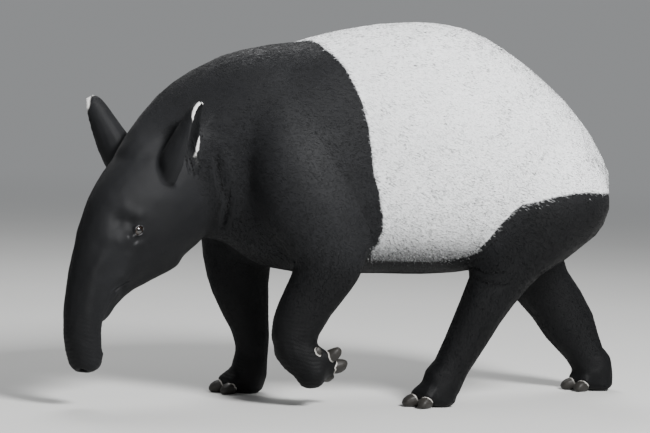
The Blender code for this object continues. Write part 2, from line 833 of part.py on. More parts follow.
def add_ears_and_tail(parts):
    grown_head = grown(parts["head"], GAP, "grown_head")
    grown_neck = grown(parts["neck"], GAP, "grown_neck")
    ears = (
        (
            "ear_left",
            head_point(-0.056, 0.157, 0.106),
            head_point(-0.092, 0.345, 0.183),
            HEAD_LEFT * 0.92 - HEAD_AHEAD * 0.52,
        ),
        (
            "ear_right",
            head_point(-0.046, 0.160, -0.100),
            head_point(0.047, 0.349, -0.158),
            HEAD_AHEAD * 0.10 - HEAD_LEFT,
        ),
    )
    for name, root, tip, opening in ears:
        ear = boolean(ear_form(name, root, tip, opening), grown_head, "DIFFERENCE")
        parts[name] = largest_shell(boolean(ear, grown_neck, "DIFFERENCE"))
    grown_torso = grown(parts["torso"], GAP, "grown_torso")
    parts["tail"] = largest_shell(boolean(tail(), grown_torso, "DIFFERENCE"))
    for helper in (grown_head, grown_neck, grown_torso):
        bpy.data.objects.remove(helper)


def add_hooves(parts):
    for foot in FEET:
        for toe in foot.toes:
            made = hoof(foot, toe)
            if foot.name != "forefoot_left":
                cut_flat_at_floor(made)
            bed = hoof(foot, toe, 1.2 * GAP)
            parts[foot.name] = boolean(parts[foot.name], bed, "DIFFERENCE")
            bpy.data.objects.remove(bed)
            parts[made.name] = made
        largest_shell(parts[foot.name])


def centre_on_floor(parts):
    """Moves the whole animal so that the origin is under the middle of its outline."""
    corners = [v.co for part in parts.values() for v in part.data.vertices]
    middle_x = (min(c.x for c in corners) + max(c.x for c in corners)) / 2
    middle_y = (min(c.y for c in corners) + max(c.y for c in corners)) / 2
    for part in parts.values():
        part.data.transform(Matrix.Translation((-middle_x, -middle_y, 0.0)))
    return middle_x, middle_y


def main():
    for obj in list(bpy.data.objects):
        bpy.data.objects.remove(obj)
    parts = parted(flesh())
    add_mouth_and_nostrils(parts)
    add_eyes(parts)
    add_ears_and_tail(parts)
    add_hooves(parts)
    black_coat = finish_material("black_coat", (0.016, 0.016, 0.018), 0.62)
    white_coat = finish_material("white_coat", (0.62, 0.61, 0.60), 0.70)
    eye_brown = finish_material("eye_brown", (0.020, 0.010, 0.006), 0.08)
    hoof_horn = finish_material("hoof_horn", (0.120, 0.105, 0.090), 0.45)
    for name, part in parts.items():
        if name.startswith("eye"):
            shaded(part, eye_brown)
        elif name.startswith("hoof"):
            shaded(part, hoof_horn)
        else:
            shaded(part, white_coat if name == "torso" else black_coat)
    return parts, centre_on_floor(parts)


if __name__ == "__main__":
    main()
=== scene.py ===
"""The looks of a life-size Malayan tapir figure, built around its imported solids.

One skin stands for all the nodes of flesh. Over it lies a coat of short solid tufts. The eyes and
the hooves are pieces of their own. Metres, +Z up; the animal faces -X and its left side is -Y.
"""

import json
import math

import bmesh
import bpy
import numpy as np
from mathutils import Matrix, Vector
from mathutils.bvhtree import BVHTree

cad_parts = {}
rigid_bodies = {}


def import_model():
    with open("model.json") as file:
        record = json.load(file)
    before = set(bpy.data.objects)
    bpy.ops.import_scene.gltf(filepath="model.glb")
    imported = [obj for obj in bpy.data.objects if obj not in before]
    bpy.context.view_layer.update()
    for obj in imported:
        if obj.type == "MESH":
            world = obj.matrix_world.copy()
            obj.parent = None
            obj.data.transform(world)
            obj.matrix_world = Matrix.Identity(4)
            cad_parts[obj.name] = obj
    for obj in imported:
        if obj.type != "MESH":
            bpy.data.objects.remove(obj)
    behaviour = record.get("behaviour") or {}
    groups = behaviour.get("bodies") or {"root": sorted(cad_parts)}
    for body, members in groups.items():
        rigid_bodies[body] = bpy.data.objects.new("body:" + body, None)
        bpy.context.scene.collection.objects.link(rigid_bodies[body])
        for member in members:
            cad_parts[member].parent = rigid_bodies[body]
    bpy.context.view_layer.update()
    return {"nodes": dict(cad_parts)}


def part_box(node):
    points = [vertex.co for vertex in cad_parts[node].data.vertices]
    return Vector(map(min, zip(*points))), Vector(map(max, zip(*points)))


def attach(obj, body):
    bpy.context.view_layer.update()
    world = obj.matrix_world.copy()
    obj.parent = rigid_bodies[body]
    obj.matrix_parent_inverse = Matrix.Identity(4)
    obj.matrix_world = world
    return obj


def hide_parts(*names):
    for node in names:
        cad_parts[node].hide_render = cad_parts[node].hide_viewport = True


bl_info = {
    "name": "Malayan Tapir Figure",
    "version": (1, 0, 0),
    "blender": (4, 5, 0),
    "location": "3D View > Sidebar > Tapir",
    "description": "Builds the skin, coat, eyes and hooves of a life-size tapir over its solids",
    "category": "Add Mesh",
}

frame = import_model()

FLESH = (
    "torso", "neck", "head", "snout", "tail", "ear_left", "ear_right",
    "foreleg_left", "foreleg_right", "hindleg_left", "hindleg_right",
    "forefoot_left", "forefoot_right", "hindfoot_left", "hindfoot_right",
)
EYES = ("eye_left", "eye_right")
HOOVES = tuple(sorted(n for n in frame["nodes"] if n.startswith("hoof_")))
RIG = "root"

UP = Vector((0.0, 0.0, 1.0))


def middle_of(node):
    """The middle of a node's box."""
    low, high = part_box(node)
    return (low + high) / 2


# The head has its own upright plane, halfway between the eyes.
EYE_LEFT, EYE_RIGHT = middle_of("eye_left"), middle_of("eye_right")
HEAD_LEFT = (EYE_LEFT - EYE_RIGHT).normalized()
HEAD_AHEAD = HEAD_LEFT.cross(UP)
EYE_AHEAD, EYE_HEIGHT = 0.058, -0.006
HEAD_ORIGIN = (EYE_LEFT + EYE_RIGHT) / 2 - HEAD_AHEAD * EYE_AHEAD - UP * EYE_HEIGHT
EYE_RADIUS = 0.0172
LEFT, RIGHT = 1, -1

# Ears, as the solids have them: root, tip and the way the cup opens, and sections along them.
EAR_SECTIONS = (
    (0.040, 136, -0.14),
    (0.049, 132, 0.08),
    (0.047, 126, 0.28),
    (0.041, 116, 0.48),
    (0.036, 102, 0.66),
    (0.031, 88, 0.82),
    (0.023, 76, 0.94),
    (0.011, 66, 1.00),
)

# The front edge of the pale saddle: how far round the trunk from the spine, and its X there.
SADDLE_FRONT = (
    (0.00, -0.200), (0.10, -0.162), (0.32, -0.136), (0.48, -0.103), (0.66, -0.077), (0.89, -0.052),
    (1.14, -0.037), (1.48, -0.024), (1.77, -0.008), (1.96, 0.009), (2.15, 0.012), (2.34, -0.005),
    (2.50, -0.012), (3.15, -0.020),
)
# Its lower edge: X and height there.
SADDLE_LOW = (
    (-0.30, 0.412), (0.20, 0.412), (0.272, 0.423), (0.301, 0.443), (0.324, 0.495), (0.363, 0.540),
    (0.396, 0.581), (0.474, 0.600), (0.531, 0.614), (0.580, 0.624), (0.639, 0.622), (0.664, 0.613),
    (0.690, 0.618), (0.900, 0.605),
)
TRUNK_AXIS_HEIGHT = 0.66
SADDLE_CORNER = 0.012
SADDLE_WANDER, SADDLE_WANDER_LENGTH = 0.0022, 0.045
SADDLE_UNLIKENESS = 0.010


def head_point(ahead, height, left=0.0):
    """A place told in the head's own frame."""
    return HEAD_ORIGIN + HEAD_AHEAD * ahead + UP * height + HEAD_LEFT * left


EARS = {
    "left": (
        head_point(-0.056, 0.157, 0.106),
        head_point(-0.092, 0.345, 0.183),
        HEAD_LEFT * 0.92 - HEAD_AHEAD * 0.52,
    ),
    "right": (
        head_point(-0.046, 0.160, -0.100),
        head_point(0.047, 0.349, -0.158),
        HEAD_AHEAD * 0.10 - HEAD_LEFT,
    ),
}


def in_head(co):
    """Columns of how far ahead, how high and how far left points lie in the head's own frame."""
    d = co - np.array(HEAD_ORIGIN)
    return d @ np.array(HEAD_AHEAD), d[:, 2], d @ np.array(HEAD_LEFT)


def ease(value, low, high):
    """0 below low, 1 above high, and a smooth rise between; low may be the greater."""
    t = np.clip((value - low) / (high - low), 0.0, 1.0)
    return t * t * (3.0 - 2.0 * t)


def unit(rows):
    """Each row as a direction of length one."""
    return rows / np.maximum(np.linalg.norm(rows, axis=1, keepdims=True), 1e-9)


def ripple(co, wavelength, seed, waves=10):
    """A soft random field of about one unit's height, from a few plane waves."""
    draw = np.random.default_rng(seed)
    way = unit(draw.normal(size=(waves, 3)))
    pace = 2 * math.pi / wavelength * draw.uniform(0.6, 1.5, waves)
    start = draw.uniform(0, 2 * math.pi, waves)
    return np.sin(co @ (way * pace[:, None]).T + start).sum(1) / math.sqrt(waves / 2)


def along_path(co, path):
    """Each point's distance to a path, and how far along the path it lies, from 0 to 1."""
    path = np.array([tuple(p) for p in path], float)
    best = np.full(len(co), 9.0)
    place = np.zeros(len(co))
    steps = len(path) - 1
    for i in range(steps):
        a, d = path[i], path[i + 1] - path[i]
        t = np.clip(((co - a) @ d) / (d @ d), 0, 1)
        gap = np.linalg.norm(co - a - t[:, None] * d, axis=1)
        nearer = gap < best
        best[nearer] = gap[nearer]
        place[nearer] = (i + t[nearer]) / steps
    return best, place


def saddle_depth(co):
    """How far inside the pale saddle a point is, in metres; below zero it is outside."""
    angle = np.arctan2(np.abs(co[:, 1]), co[:, 2] - TRUNK_AXIS_HEIGHT)
    edge_angle, edge_x = np.array(SADDLE_FRONT).T
    low_x, low_z = np.array(SADDLE_LOW).T
    right = co[:, 1] > 0
    sway = SADDLE_UNLIKENESS * np.sin(angle * 4.1 + 0.6) * right
    front = co[:, 0] - np.interp(angle, edge_angle, edge_x) + sway
    low = 0.80 * (co[:, 2] - np.interp(co[:, 0], low_x, low_z)) + sway
    both = -SADDLE_CORNER * np.logaddexp(-front / SADDLE_CORNER, -low / SADDLE_CORNER)
    return both + SADDLE_WANDER * ripple(co, SADDLE_WANDER_LENGTH, 11)


def ear_rims(name):
    """The two edges of an ear's cup, each from root to tip."""
    root, tip, opening = EARS[name]
    axis = (tip - root).normalized()
    opening = (opening - axis * opening.dot(axis)).normalized()
    across = axis.cross(opening)
    rims = []
    for side in (-1, 1):
        rim = []
        for radius, curl, along in EAR_SECTIONS:
            turn = math.radians(curl) * side
            bowed = across * math.sin(turn) - opening * math.cos(turn)
            rim.append(root.lerp(tip, along) + bowed * radius)
        rims.append(rim)
    return rims


# Where each ear's rim is pale: which edge of the cup, from where to where along it, and how wide.
EAR_BANDS = {
    "left": ((0, 0.62, 1.10, 0.0090), (1, 0.20, 0.50, 0.0036), (1, 0.90, 1.10, 0.0080)),
    "right": ((0, 0.86, 1.10, 0.0130), (1, 0.70, 1.10, 0.0130)),
}
EAR_REACH = 0.17
EAR_NEAR, EAR_FAR = 0.003, 0.009


def surface_of(obj):
    """A search tree of the faces of an object that stands unturned at the origin."""
    bm = bmesh.new()
    bm.from_mesh(obj.data)
    tree = BVHTree.FromBMesh(bm)
    bm.free()
    return tree


def ear_marks(co):
    """How much each point lies on an ear, and how much on its pale rim."""
    ear = np.zeros(len(co))
    rim = np.zeros(len(co))
    close = np.zeros(len(co), bool)
    for root, tip, _opening in EARS.values():
        close |= np.linalg.norm(co - np.array((root + tip) / 2), axis=1) < EAR_REACH
    spots = co[close]
    some_ear, some_rim = np.zeros(len(spots)), np.zeros(len(spots))
    for name in EARS:
        solid = surface_of(frame["nodes"]["ear_" + name])
        gap = np.array([solid.find_nearest(p, EAR_FAR)[3] or 9.0 for p in spots.tolist()])
        some_ear = np.maximum(some_ear, ease(gap, EAR_FAR, EAR_NEAR))
        edges = ear_rims(name)
        for edge, begin, end, width in EAR_BANDS[name]:
            gap, place = along_path(spots, edges[edge])
            broad = width * ease(place, begin - 0.02, begin + 0.16) * ease(place, end, end - 0.10)
            some_rim = np.maximum(some_rim, ease(gap, broad * 1.15 + 1e-5, broad * 0.85))
    ear[close], rim[close] = some_ear, some_rim
    return ear, rim


# Small helpers for objects and their meshes.


def only(obj):
    """Leaves obj alone selected and active."""
    for other in bpy.context.view_layer.objects:
        other.select_set(False)
    obj.select_set(True)
    bpy.context.view_layer.objects.active = obj


def new_object(name, mesh):
    """A new object of the scene, at the origin."""
    made = bpy.data.objects.new(name, mesh)
    bpy.context.scene.collection.objects.link(made)
    return made


def copied(nodes, name):
    """One merged copy of some of the frame's nodes."""
    bm = bmesh.new()
    for node in nodes:
        bm.from_mesh(frame["nodes"][node].data)
    bmesh.ops.remove_doubles(bm, verts=bm.verts, dist=1e-5)
    mesh = bpy.data.meshes.new(name)
    bm.to_mesh(mesh)
    bm.free()
    return new_object(name, mesh)


def apply(obj, kind, **settings):
    """Adds one modifier, sets it and applies it."""
    only(obj)
    modifier = obj.modifiers.new(kind.lower(), kind)
    for key, value in settings.items():
        setattr(modifier, key, value)
    bpy.ops.object.modifier_apply(modifier=modifier.name)


def points(mesh):
    """The places of a mesh's vertices, a row each."""
    co = np.empty(len(mesh.vertices) * 3)
    mesh.vertices.foreach_get("co", co)
    return co.reshape(-1, 3)


def set_points(mesh, co):
    """Moves a mesh's vertices to the rows of co."""
    mesh.vertices.foreach_set("co", np.ascontiguousarray(co, np.float32).ravel())
    mesh.update()


def normals(mesh):
    """The outward directions at a mesh's vertices."""
    n = np.empty(len(mesh.vertices) * 3)
    mesh.vertex_normals.foreach_get("vector", n)
    return n.reshape(-1, 3)


def group(obj, name, weights):
    """A vertex group with the given weights, in steps of a twentieth."""
    made = obj.vertex_groups.new(name=name)
    steps = np.round(np.clip(weights, 0, 1) * 20).astype(int)
    for step in range(1, 21):
        chosen = np.nonzero(steps == step)[0]
        if len(chosen):
            made.add(chosen.tolist(), step / 20, "REPLACE")
    return made.name


def set_attribute(mesh, name, values):
    """Keeps one number for each vertex under a name."""
    attribute = mesh.attributes.get(name) or mesh.attributes.new(name, "FLOAT", "POINT")
    attribute.data.foreach_set("value", np.ascontiguousarray(values, np.float32))


def triangles_of(mesh):
    """How many triangles a mesh comes to."""
    return sum(len(p.vertices) - 2 for p in mesh.polygons)


# The skin.

SKIN_VOXEL = 0.0035
SKIN_TRIANGLES = 192000
SMOOTHING_ROUNDS = 80
TRUNK_COAT, FACE_COAT, LEG_COAT, EAR_COAT = 0.0026, 0.0012, 0.0010, 0.0004


def fused_flesh():
    """All the flesh, with its thin cuts closed, as one skin of small even faces."""
    skin = copied(FLESH + EYES, "tapir_skin")
    apply(skin, "DISPLACE", strength=0.0006, mid_level=0.0)
    apply(skin, "REMESH", mode="VOXEL", voxel_size=SKIN_VOXEL)
    only(skin)
    co = points(skin.data)
    bpy.ops.object.mode_set(mode="EDIT")
    bpy.ops.mesh.select_all(action="DESELECT")
    bpy.ops.object.mode_set(mode="OBJECT")
    skin.data.vertices[int(np.argmax(co[:, 2]))].select = True
    bpy.ops.object.mode_set(mode="EDIT")
    bpy.ops.mesh.select_linked()
    bpy.ops.mesh.select_all(action="INVERT")
    bpy.ops.mesh.delete(type="VERT")
    bpy.ops.object.mode_set(mode="OBJECT")
    return skin


def foot_share(co):
    """1 on the toes and the pads, 0 up the legs."""
    low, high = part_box("forefoot_left")
    inside = np.all((co > np.array(low) - 0.004) & (co < np.array(high) + 0.004), axis=1)
    return np.maximum(ease(co[:, 2], 0.105, 0.075), inside * 0.9)


def head_share(co):
    """1 on the head, 0 on the neck, across the line of the jowl."""
    ahead, height, _left = in_head(co)
    return ease(0.86 * (ahead + 0.125) - 0.52 * (height - 0.09), -0.035, 0.035)


def soften(skin):
    """Rounds off the solids' facets but keeps their bulk: most on the body, least on the toes."""
    co = points(skin.data)
    ear, _rim = ear_marks(co)
    weight = 1.0 - 0.62 * head_share(co)
    weight = np.minimum(weight, 1.0 - 0.90 * foot_share(co))
    weight = np.minimum(weight, 1.0 - 0.45 * ease(co[:, 2], 0.30, 0.16))
    for root, tip, _opening in EARS.values():
        gap, place = along_path(co, (root, tip))
        ear = ear * np.where(gap < 0.08, ease(place, 0.16, 0.36), 1.0)
    weight = np.minimum(weight, 1.0 - 0.93 * ear)
    name = group(skin, "soften", weight)
    apply(skin, "SMOOTH", factor=1.0, iterations=SMOOTHING_ROUNDS, vertex_group=name)
    once = points(skin.data)
    set_points(skin.data, co - once)
    apply(skin, "SMOOTH", factor=1.0, iterations=SMOOTHING_ROUNDS, vertex_group=name)
    set_points(skin.data, once + points(skin.data))
    apply(skin, "SMOOTH", factor=0.5, iterations=3)


def sink(skin):
    """Moves the skin in by the depth of the coat."""
    co = points(skin.data)
    ear, _rim = ear_marks(co)
    depth = TRUNK_COAT - (TRUNK_COAT - FACE_COAT) * head_share(co)
    depth -= (TRUNK_COAT - LEG_COAT) * ease(co[:, 2], 0.40, 0.20)
    depth = np.where(ear > 0.3, EAR_COAT, np.maximum(depth, 0.0006))
    set_points(skin.data, co - normals(skin.data) * depth[:, None])


def refine(skin, chosen):
    """Halves the faces all of whose corners are chosen."""
    only(skin)
    mesh = skin.data
    mesh.vertices.foreach_set("select", chosen)
    mesh.edges.foreach_set("select", np.zeros(len(mesh.edges), bool))
    mesh.polygons.foreach_set("select", np.zeros(len(mesh.polygons), bool))
    bpy.ops.object.mode_set(mode="EDIT")
    bpy.ops.mesh.select_mode(type="VERT")
    bpy.ops.mesh.subdivide(number_cuts=1, smoothness=0.0)
    bpy.ops.mesh.select_all(action="DESELECT")
    bpy.ops.object.mode_set(mode="OBJECT")


def eye_frame(side):
    """An eye's middle, and its directions: to the inner corner, up over the lid, and out."""
    centre = EYE_LEFT if side == LEFT else EYE_RIGHT
    out = (HEAD_LEFT * side + HEAD_AHEAD * 0.16 + UP * 0.05).normalized()
    front = HEAD_AHEAD * 0.74 - UP * 0.67
    front = (front - out * front.dot(out)).normalized()
    top = out.cross(front)
    if top.z < 0:
        top = -top
    return centre, front, top, out


def eye_front(side):
    """The foremost place of an eyeball."""
    centre, _front, _top, out = eye_frame(side)
    return np.array(centre + out * 0.016)


# The slit between the lids: half its length, its rise and drop, how full its bow is. The lids' thickness.
LID_LENGTH, LID_RISE, LID_DROP, LID_BOW = 0.0155, 0.0112, 0.0104, 2.3
LID_WALL = 0.0018
SOCKET_LEVEL = 0.0070
SOCKET_REACH = 0.042


def eye_places(co, side):
    """How far points lie from an eye's middle: towards the inner corner, up the lids and outwards."""
    centre, front, top, out = eye_frame(side)
    d = co - np.array(centre)
    return d @ np.array(front), d @ np.array(top), d @ np.array(out)


def inside_slit(u, v):
    """How far inside the slit between the lids a place is, in metres; below zero it is on a lid."""
    bow = 1 - np.abs(u / LID_LENGTH) ** LID_BOW
    return np.minimum(LID_RISE * bow - v, v + LID_DROP * bow)


def hump(value, middle, width):
    """1 at the middle and soft slopes to 0 on both sides."""
    return np.exp(-(((value - middle) / width) ** 2))


def form_lids(co):
    """Wraps the skin over each eyeball as two lids with a rolled rim, and opens the slit between them."""
    for side in (LEFT, RIGHT):
        u, v, w = eye_places(co, side)
        r = np.hypot(u, v)
        near = (r < SOCKET_REACH) & (w > -0.012)
        u, v, w, r = u[near], v[near], w[near], r[near]
        inside = inside_slit(u, v)
        ball = np.sqrt(np.maximum(EYE_RADIUS**2 - r**2, 0))
        wrap = EYE_RADIUS + LID_WALL
        slope = np.minimum(r, 0.90 * wrap)
        over = np.sqrt(wrap**2 - slope**2) - (r - slope) * 2.0
        around = np.median(w[(r > 0.026) & (r < 0.034)])
        hollow = w - max(around - SOCKET_LEVEL, 0.0) * ease(r, 0.040, 0.016)
        soft = 0.0015
        lid = soft * np.logaddexp(hollow / soft, over / soft)
        is_upper = ease(v, -0.002, 0.002)
        lid += 0.0011 * hump(inside, -0.0011, 0.0011)
        lid -= (0.0009 + 0.0007 * is_upper) * hump(inside, -0.0052 - 0.0012 * is_upper, 0.0012)
        lid -= 0.0006 * hump(inside, -0.0098, 0.0014)
        opened = ease(inside, -0.0006, 0.0010)
        target = lid * (1 - opened) + (ball - 0.0035) * opened
        moved = (target - w) * ease(r, 0.041, 0.030)
        co[near] += np.outer(moved, np.array(eye_frame(side)[3]))
    return co


def carve(co, normal, path, depth, width, swell):
    """Presses a crease along a path into the skin, with a soft swelling on both sides."""
    ends = np.array([tuple(p) for p in path])
    near = np.all((co > ends.min(0) - 5 * width) & (co < ends.max(0) + 5 * width), axis=1)
    gap, place = along_path(co[near], path)
    fade = np.sqrt(np.clip(np.minimum(place, 1 - place) * 5, 0.0, 1))
    press = depth * (hump(gap, 0.0, width) - swell * hump(gap, 2.2 * width, width))
    co[near] -= normal[near] * (press * fade)[:, None]


def both_sides(path):
    """A path of the left side, and the same on the right."""
    return path, [(x, -y, z) for x, y, z in path]


def both_cheeks(path):
    """A path told in the head's frame, on its left and on its right."""
    return [[head_point(a, h, off * side) for a, h, off in path] for side in (LEFT, RIGHT)]


# Broad soft forms: a place in the head's frame or in the animal's, its reach, and how far it stands out.
HEAD_RELIEF = (
    (0.106, 0.022, 0.074, 0.021, -0.0105),
    (0.080, 0.018, 0.089, 0.015, -0.0065),
    (0.094, 0.056, 0.079, 0.020, 0.0040),
    (0.058, 0.036, 0.100, 0.018, 0.0045),
    (0.112, -0.036, 0.082, 0.020, 0.0060),
    (0.140, -0.030, 0.066, 0.020, 0.0040),
    (0.086, -0.060, 0.086, 0.016, -0.0030),
    (0.050, -0.046, 0.097, 0.014, 0.0030),
    (0.020, -0.060, 0.100, 0.034, -0.0030),
    (-0.040, -0.020, 0.125, 0.050, 0.0040),
    (0.072, -0.168, 0.058, 0.014, -0.0050),
    (0.092, -0.136, 0.074, 0.018, 0.0045),
    (0.086, -0.196, 0.044, 0.016, 0.0050),
    (0.122, -0.350, 0.034, 0.009, 0.0035),
)
BODY_RELIEF = (
    (-0.170, 0.262, 0.700, 0.110, 0.0060),
    (-0.130, 0.262, 0.560, 0.060, 0.0050),
    (-0.330, 0.200, 0.640, 0.070, -0.0050),
    (0.520, 0.280, 0.560, 0.100, 0.0050),
    (0.400, 0.262, 0.470, 0.050, -0.0040),
    (0.200, 0.290, 0.620, 0.090, -0.0030),
    (-0.230, 0.150, 0.930, 0.060, -0.0040),
)


def model_relief(co, normal):
    """Raises and hollows the broad soft forms: brow, socket, cheek, lip, shoulder and thigh."""
    for ahead, height, off, reach, rise in HEAD_RELIEF:
        for side in (LEFT, RIGHT):
            gap = np.linalg.norm(co - np.array(head_point(ahead, height, off * side)), axis=1)
            co += normal * (rise * hump(gap, 0.0, reach))[:, None]
    for x, y, z, reach, rise in BODY_RELIEF:
        for side in (LEFT, RIGHT):
            gap = np.linalg.norm(co - np.array((x, -y * side, z)), axis=1)
            co += normal * (rise * hump(gap, 0.0, reach))[:, None]
    return co


def on_skin(hide, path):
    """A path in small steps, each moved to the skin's nearest point."""
    path = np.array([tuple(p) for p in path])
    steps = np.linspace(0, len(path) - 1, 3 * len(path))
    fine = np.stack([np.interp(steps, np.arange(len(path)), path[:, k]) for k in range(3)], 1)
    return [hide.find_nearest(spot)[0] for spot in fine.tolist()]


# Folds run on the animal's left, and their like on its right.
NECK_FOLD = (
    (-0.450, -0.163, 0.704), (-0.438, -0.165, 0.668), (-0.430, -0.160, 0.621), (-0.425, -0.146, 0.570),
)
CHEEK_FOLD = (
    (-0.413, -0.161, 0.613), (-0.405, -0.148, 0.565), (-0.406, -0.119, 0.515), (-0.408, -0.082, 0.481),
)
EAR_WRINKLES = (
    ((-0.531, -0.156, 0.707), (-0.522, -0.156, 0.680), (-0.511, -0.156, 0.650)),
    ((-0.524, -0.156, 0.706), (-0.510, -0.156, 0.676), (-0.497, -0.156, 0.640)),
    ((-0.514, -0.156, 0.706), (-0.500, -0.156, 0.682), (-0.486, -0.156, 0.655)),
)
STIFLE_FOLDS = (
    ((0.294, -0.174, 0.404), (0.305, -0.215, 0.394), (0.331, -0.247, 0.383), (0.369, -0.264, 0.393)),
    ((0.295, -0.192, 0.377), (0.332, -0.247, 0.355), (0.386, -0.261, 0.362)),
)
# These run in the head's frame.
MOUTH_LINE = (
    (0.056, -0.152, 0.066), (0.082, -0.160, 0.068), (0.104, -0.174, 0.062), (0.116, -0.200, 0.050),
    (0.126, -0.228, 0.045), (0.134, -0.254, 0.036),
)
SNOUT_PLANE = (
    (0.120, -0.050, 0.078), (0.150, -0.080, 0.060), (0.172, -0.120, 0.052), (0.184, -0.220, 0.050),
    (0.186, -0.300, 0.046),
)
NOSTRIL = (0.176, -0.394, 0.021)
NOSTRIL_SIZE, NOSTRIL_DEPTH = (0.014, 0.020, 0.010), 0.008
RING_SPACING, RING_HEIGHT = 0.0105, 0.00045


def fold_skin(hide, co, normal):
    """The folds of the neck, cheek, ears, flank and legs, and the line of the mouth."""
    folds = [(NECK_FOLD, 0.0065, 0.0085, 0.40), (CHEEK_FOLD, 0.0080, 0.0085, 0.40)]
    folds += [(wrinkle, 0.0034, 0.0032, 0.50) for wrinkle in EAR_WRINKLES]
    folds += [(fold, 0.0034, 0.0080, 0.25) for fold in STIFLE_FOLDS]
    for fold, depth, width, swell in folds:
        for path in both_sides(fold):
            carve(co, normal, on_skin(hide, path), depth, width, swell)
    for path in both_cheeks(MOUTH_LINE):
        carve(co, normal, on_skin(hide, path), 0.0065, 0.0036, 0.4)
    for path in both_cheeks(SNOUT_PLANE):
        carve(co, normal, on_skin(hide, path), -0.0035, 0.0170, 0.5)
    return co


def open_nostrils(co, normal):
    """Hollows on both sides of the snout's tip."""
    ahead, height, left = in_head(co)
    long, tall, wide = NOSTRIL_SIZE
    for side in (LEFT, RIGHT):
        a, h, off = NOSTRIL
        reach = ((ahead - a) / long) ** 2 + ((left - off * side) / wide) ** 2 + ((height - h) / tall) ** 2
        co -= normal * (NOSTRIL_DEPTH * ease(reach, 1.0, 0.15))[:, None]
    return co


def wrinkle_snout(co, normal):
    """Fine rings round the short trunk, and a looser grain on the whole hide."""
    ahead, height, _left = in_head(co)
    ring = np.sin(2 * math.pi * (0.25 * ahead - height) / RING_SPACING + 1.6 * ripple(co, 0.05, 5))
    share = ease(height, -0.18, -0.27) * head_share(co)
    co += normal * (RING_HEIGHT * ring * share)[:, None]
    co += normal * (0.00022 * ripple(co, 0.050, 6))[:, None]
    return co


def sculpt(skin):
    """Adds to the plain skin what the solids are too coarse for."""
    mesh = skin.data
    for radius in (0.036, 0.024):
        gaps = [np.linalg.norm(points(mesh) - eye_front(side), axis=1) for side in (LEFT, RIGHT)]
        refine(skin, np.minimum(*gaps) < radius)
    co = points(mesh)
    mouth = np.full(len(co), 9.0)
    for path in both_cheeks(MOUTH_LINE):
        mouth = np.minimum(mouth, along_path(co, path)[0])
    refine(skin, mouth < 0.016)
    co = points(mesh)
    co = model_relief(co, normals(mesh))
    set_points(mesh, co)
    co = fold_skin(surface_of(skin), co, normals(mesh))
    co = open_nostrils(co, normals(mesh))
    co = wrinkle_snout(co, normals(mesh))
    co = form_lids(co)
    co[:, 2] = np.maximum(co[:, 2], 0.0004)
    set_points(mesh, co)


def lighten(skin):
    """Thins the faces of the plain body only, to keep the skin within its budget."""
    co = points(skin.data)
    ear, _rim = ear_marks(co)
    fine = np.maximum.reduce([head_share(co), foot_share(co), ear])
    name = group(skin, "lighten", 1.0 - 0.97 * fine)
    kept = SKIN_TRIANGLES / triangles_of(skin.data)
    apply(skin, "DECIMATE", ratio=kept, vertex_group=name, vertex_group_factor=1.0)


# The skin's mark of the saddle counts in these lengths.
MARK_UNIT = 0.012


def mark(skin):
    """Writes the markings on the skin: the saddle, the ears' rims, the lids' painted highlights, the
    painted shade of the darkest parts, and the dark hair and painted shade along the belly.
    """
    co = points(skin.data)
    marks = {
        "pale": np.clip(saddle_depth(co) / MARK_UNIT, -8, 8),
        "lids": painted_lid_highlights(co),
        "painted_shade": painted_shade_share(co),
        "rim": ear_marks(co)[1],
        "belly": dark_hair_and_shade_share(co),
    }
    for name, values in marks.items():
        set_attribute(skin.data, name, values)


# Painted highlights by the inner corner of each eye, wet glints and lit wrinkles: place towards the corner
# and up, size each way, strength.
CORNER_HIGHLIGHTS = (
    (0.0180, -0.001, 0.0035, 0.0022, 1.0),
    (0.0330, 0.007, 0.0025, 0.0030, 0.7),
    (0.0260, -0.022, 0.0060, 0.0030, 0.5),
)


def painted_lid_highlights(co):
    """Painted highlights: wet glints on the lids' edges, the spots in the inner corner and the wrinkles
    under it.
    """
    shown = np.zeros(len(co))
    for side in (LEFT, RIGHT):
        u, v, w = eye_places(co, side)
        glint = hump(inside_slit(u, v), -0.0016, 0.0013) * (0.40 + 0.60 * ripple(co, 0.010, 41, 6))
        for ahead, up, length, height, strength in CORNER_HIGHLIGHTS:
            glint += strength * hump(u, ahead, length) * hump(v, up, height)
        shown = np.maximum(shown, np.clip(glint, 0, 1) * (w > 0) * (np.hypot(u, v) < 0.045))
    return shown


def dark_hair_and_shade_share(co):
    """How much dark is mixed into the pale coat, most along the belly: partly dark hair, partly painted
    shade.
    """
    return ease(co[:, 2], 0.505, 0.405)


def unwrap(skin):
    """Lays the skin out flat by the lie of its own faces."""
    only(skin)
    bpy.ops.object.mode_set(mode="EDIT")
    bpy.ops.mesh.select_all(action="SELECT")
    skin.data.uv_layers.new(name="OFBake")
    bpy.ops.uv.smart_project(angle_limit=math.radians(66), island_margin=0.001)
    bpy.ops.object.mode_set(mode="OBJECT")
    skin.data.uv_layers[0].name = "OFBake"


def finish_piece(obj, material, slot, *replaced):
    """Gives a piece its material, its body and the nodes it stands for; its slot is not used."""
    obj.data.materials.clear()
    obj.data.materials.append(material)
    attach(obj, RIG)
    if replaced:
        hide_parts(*replaced)


# Materials.


def scaled(colour, by):
    """A colour made darker or lighter, but never quite white."""
    return tuple(min(c * by, 0.9) for c in colour[:])


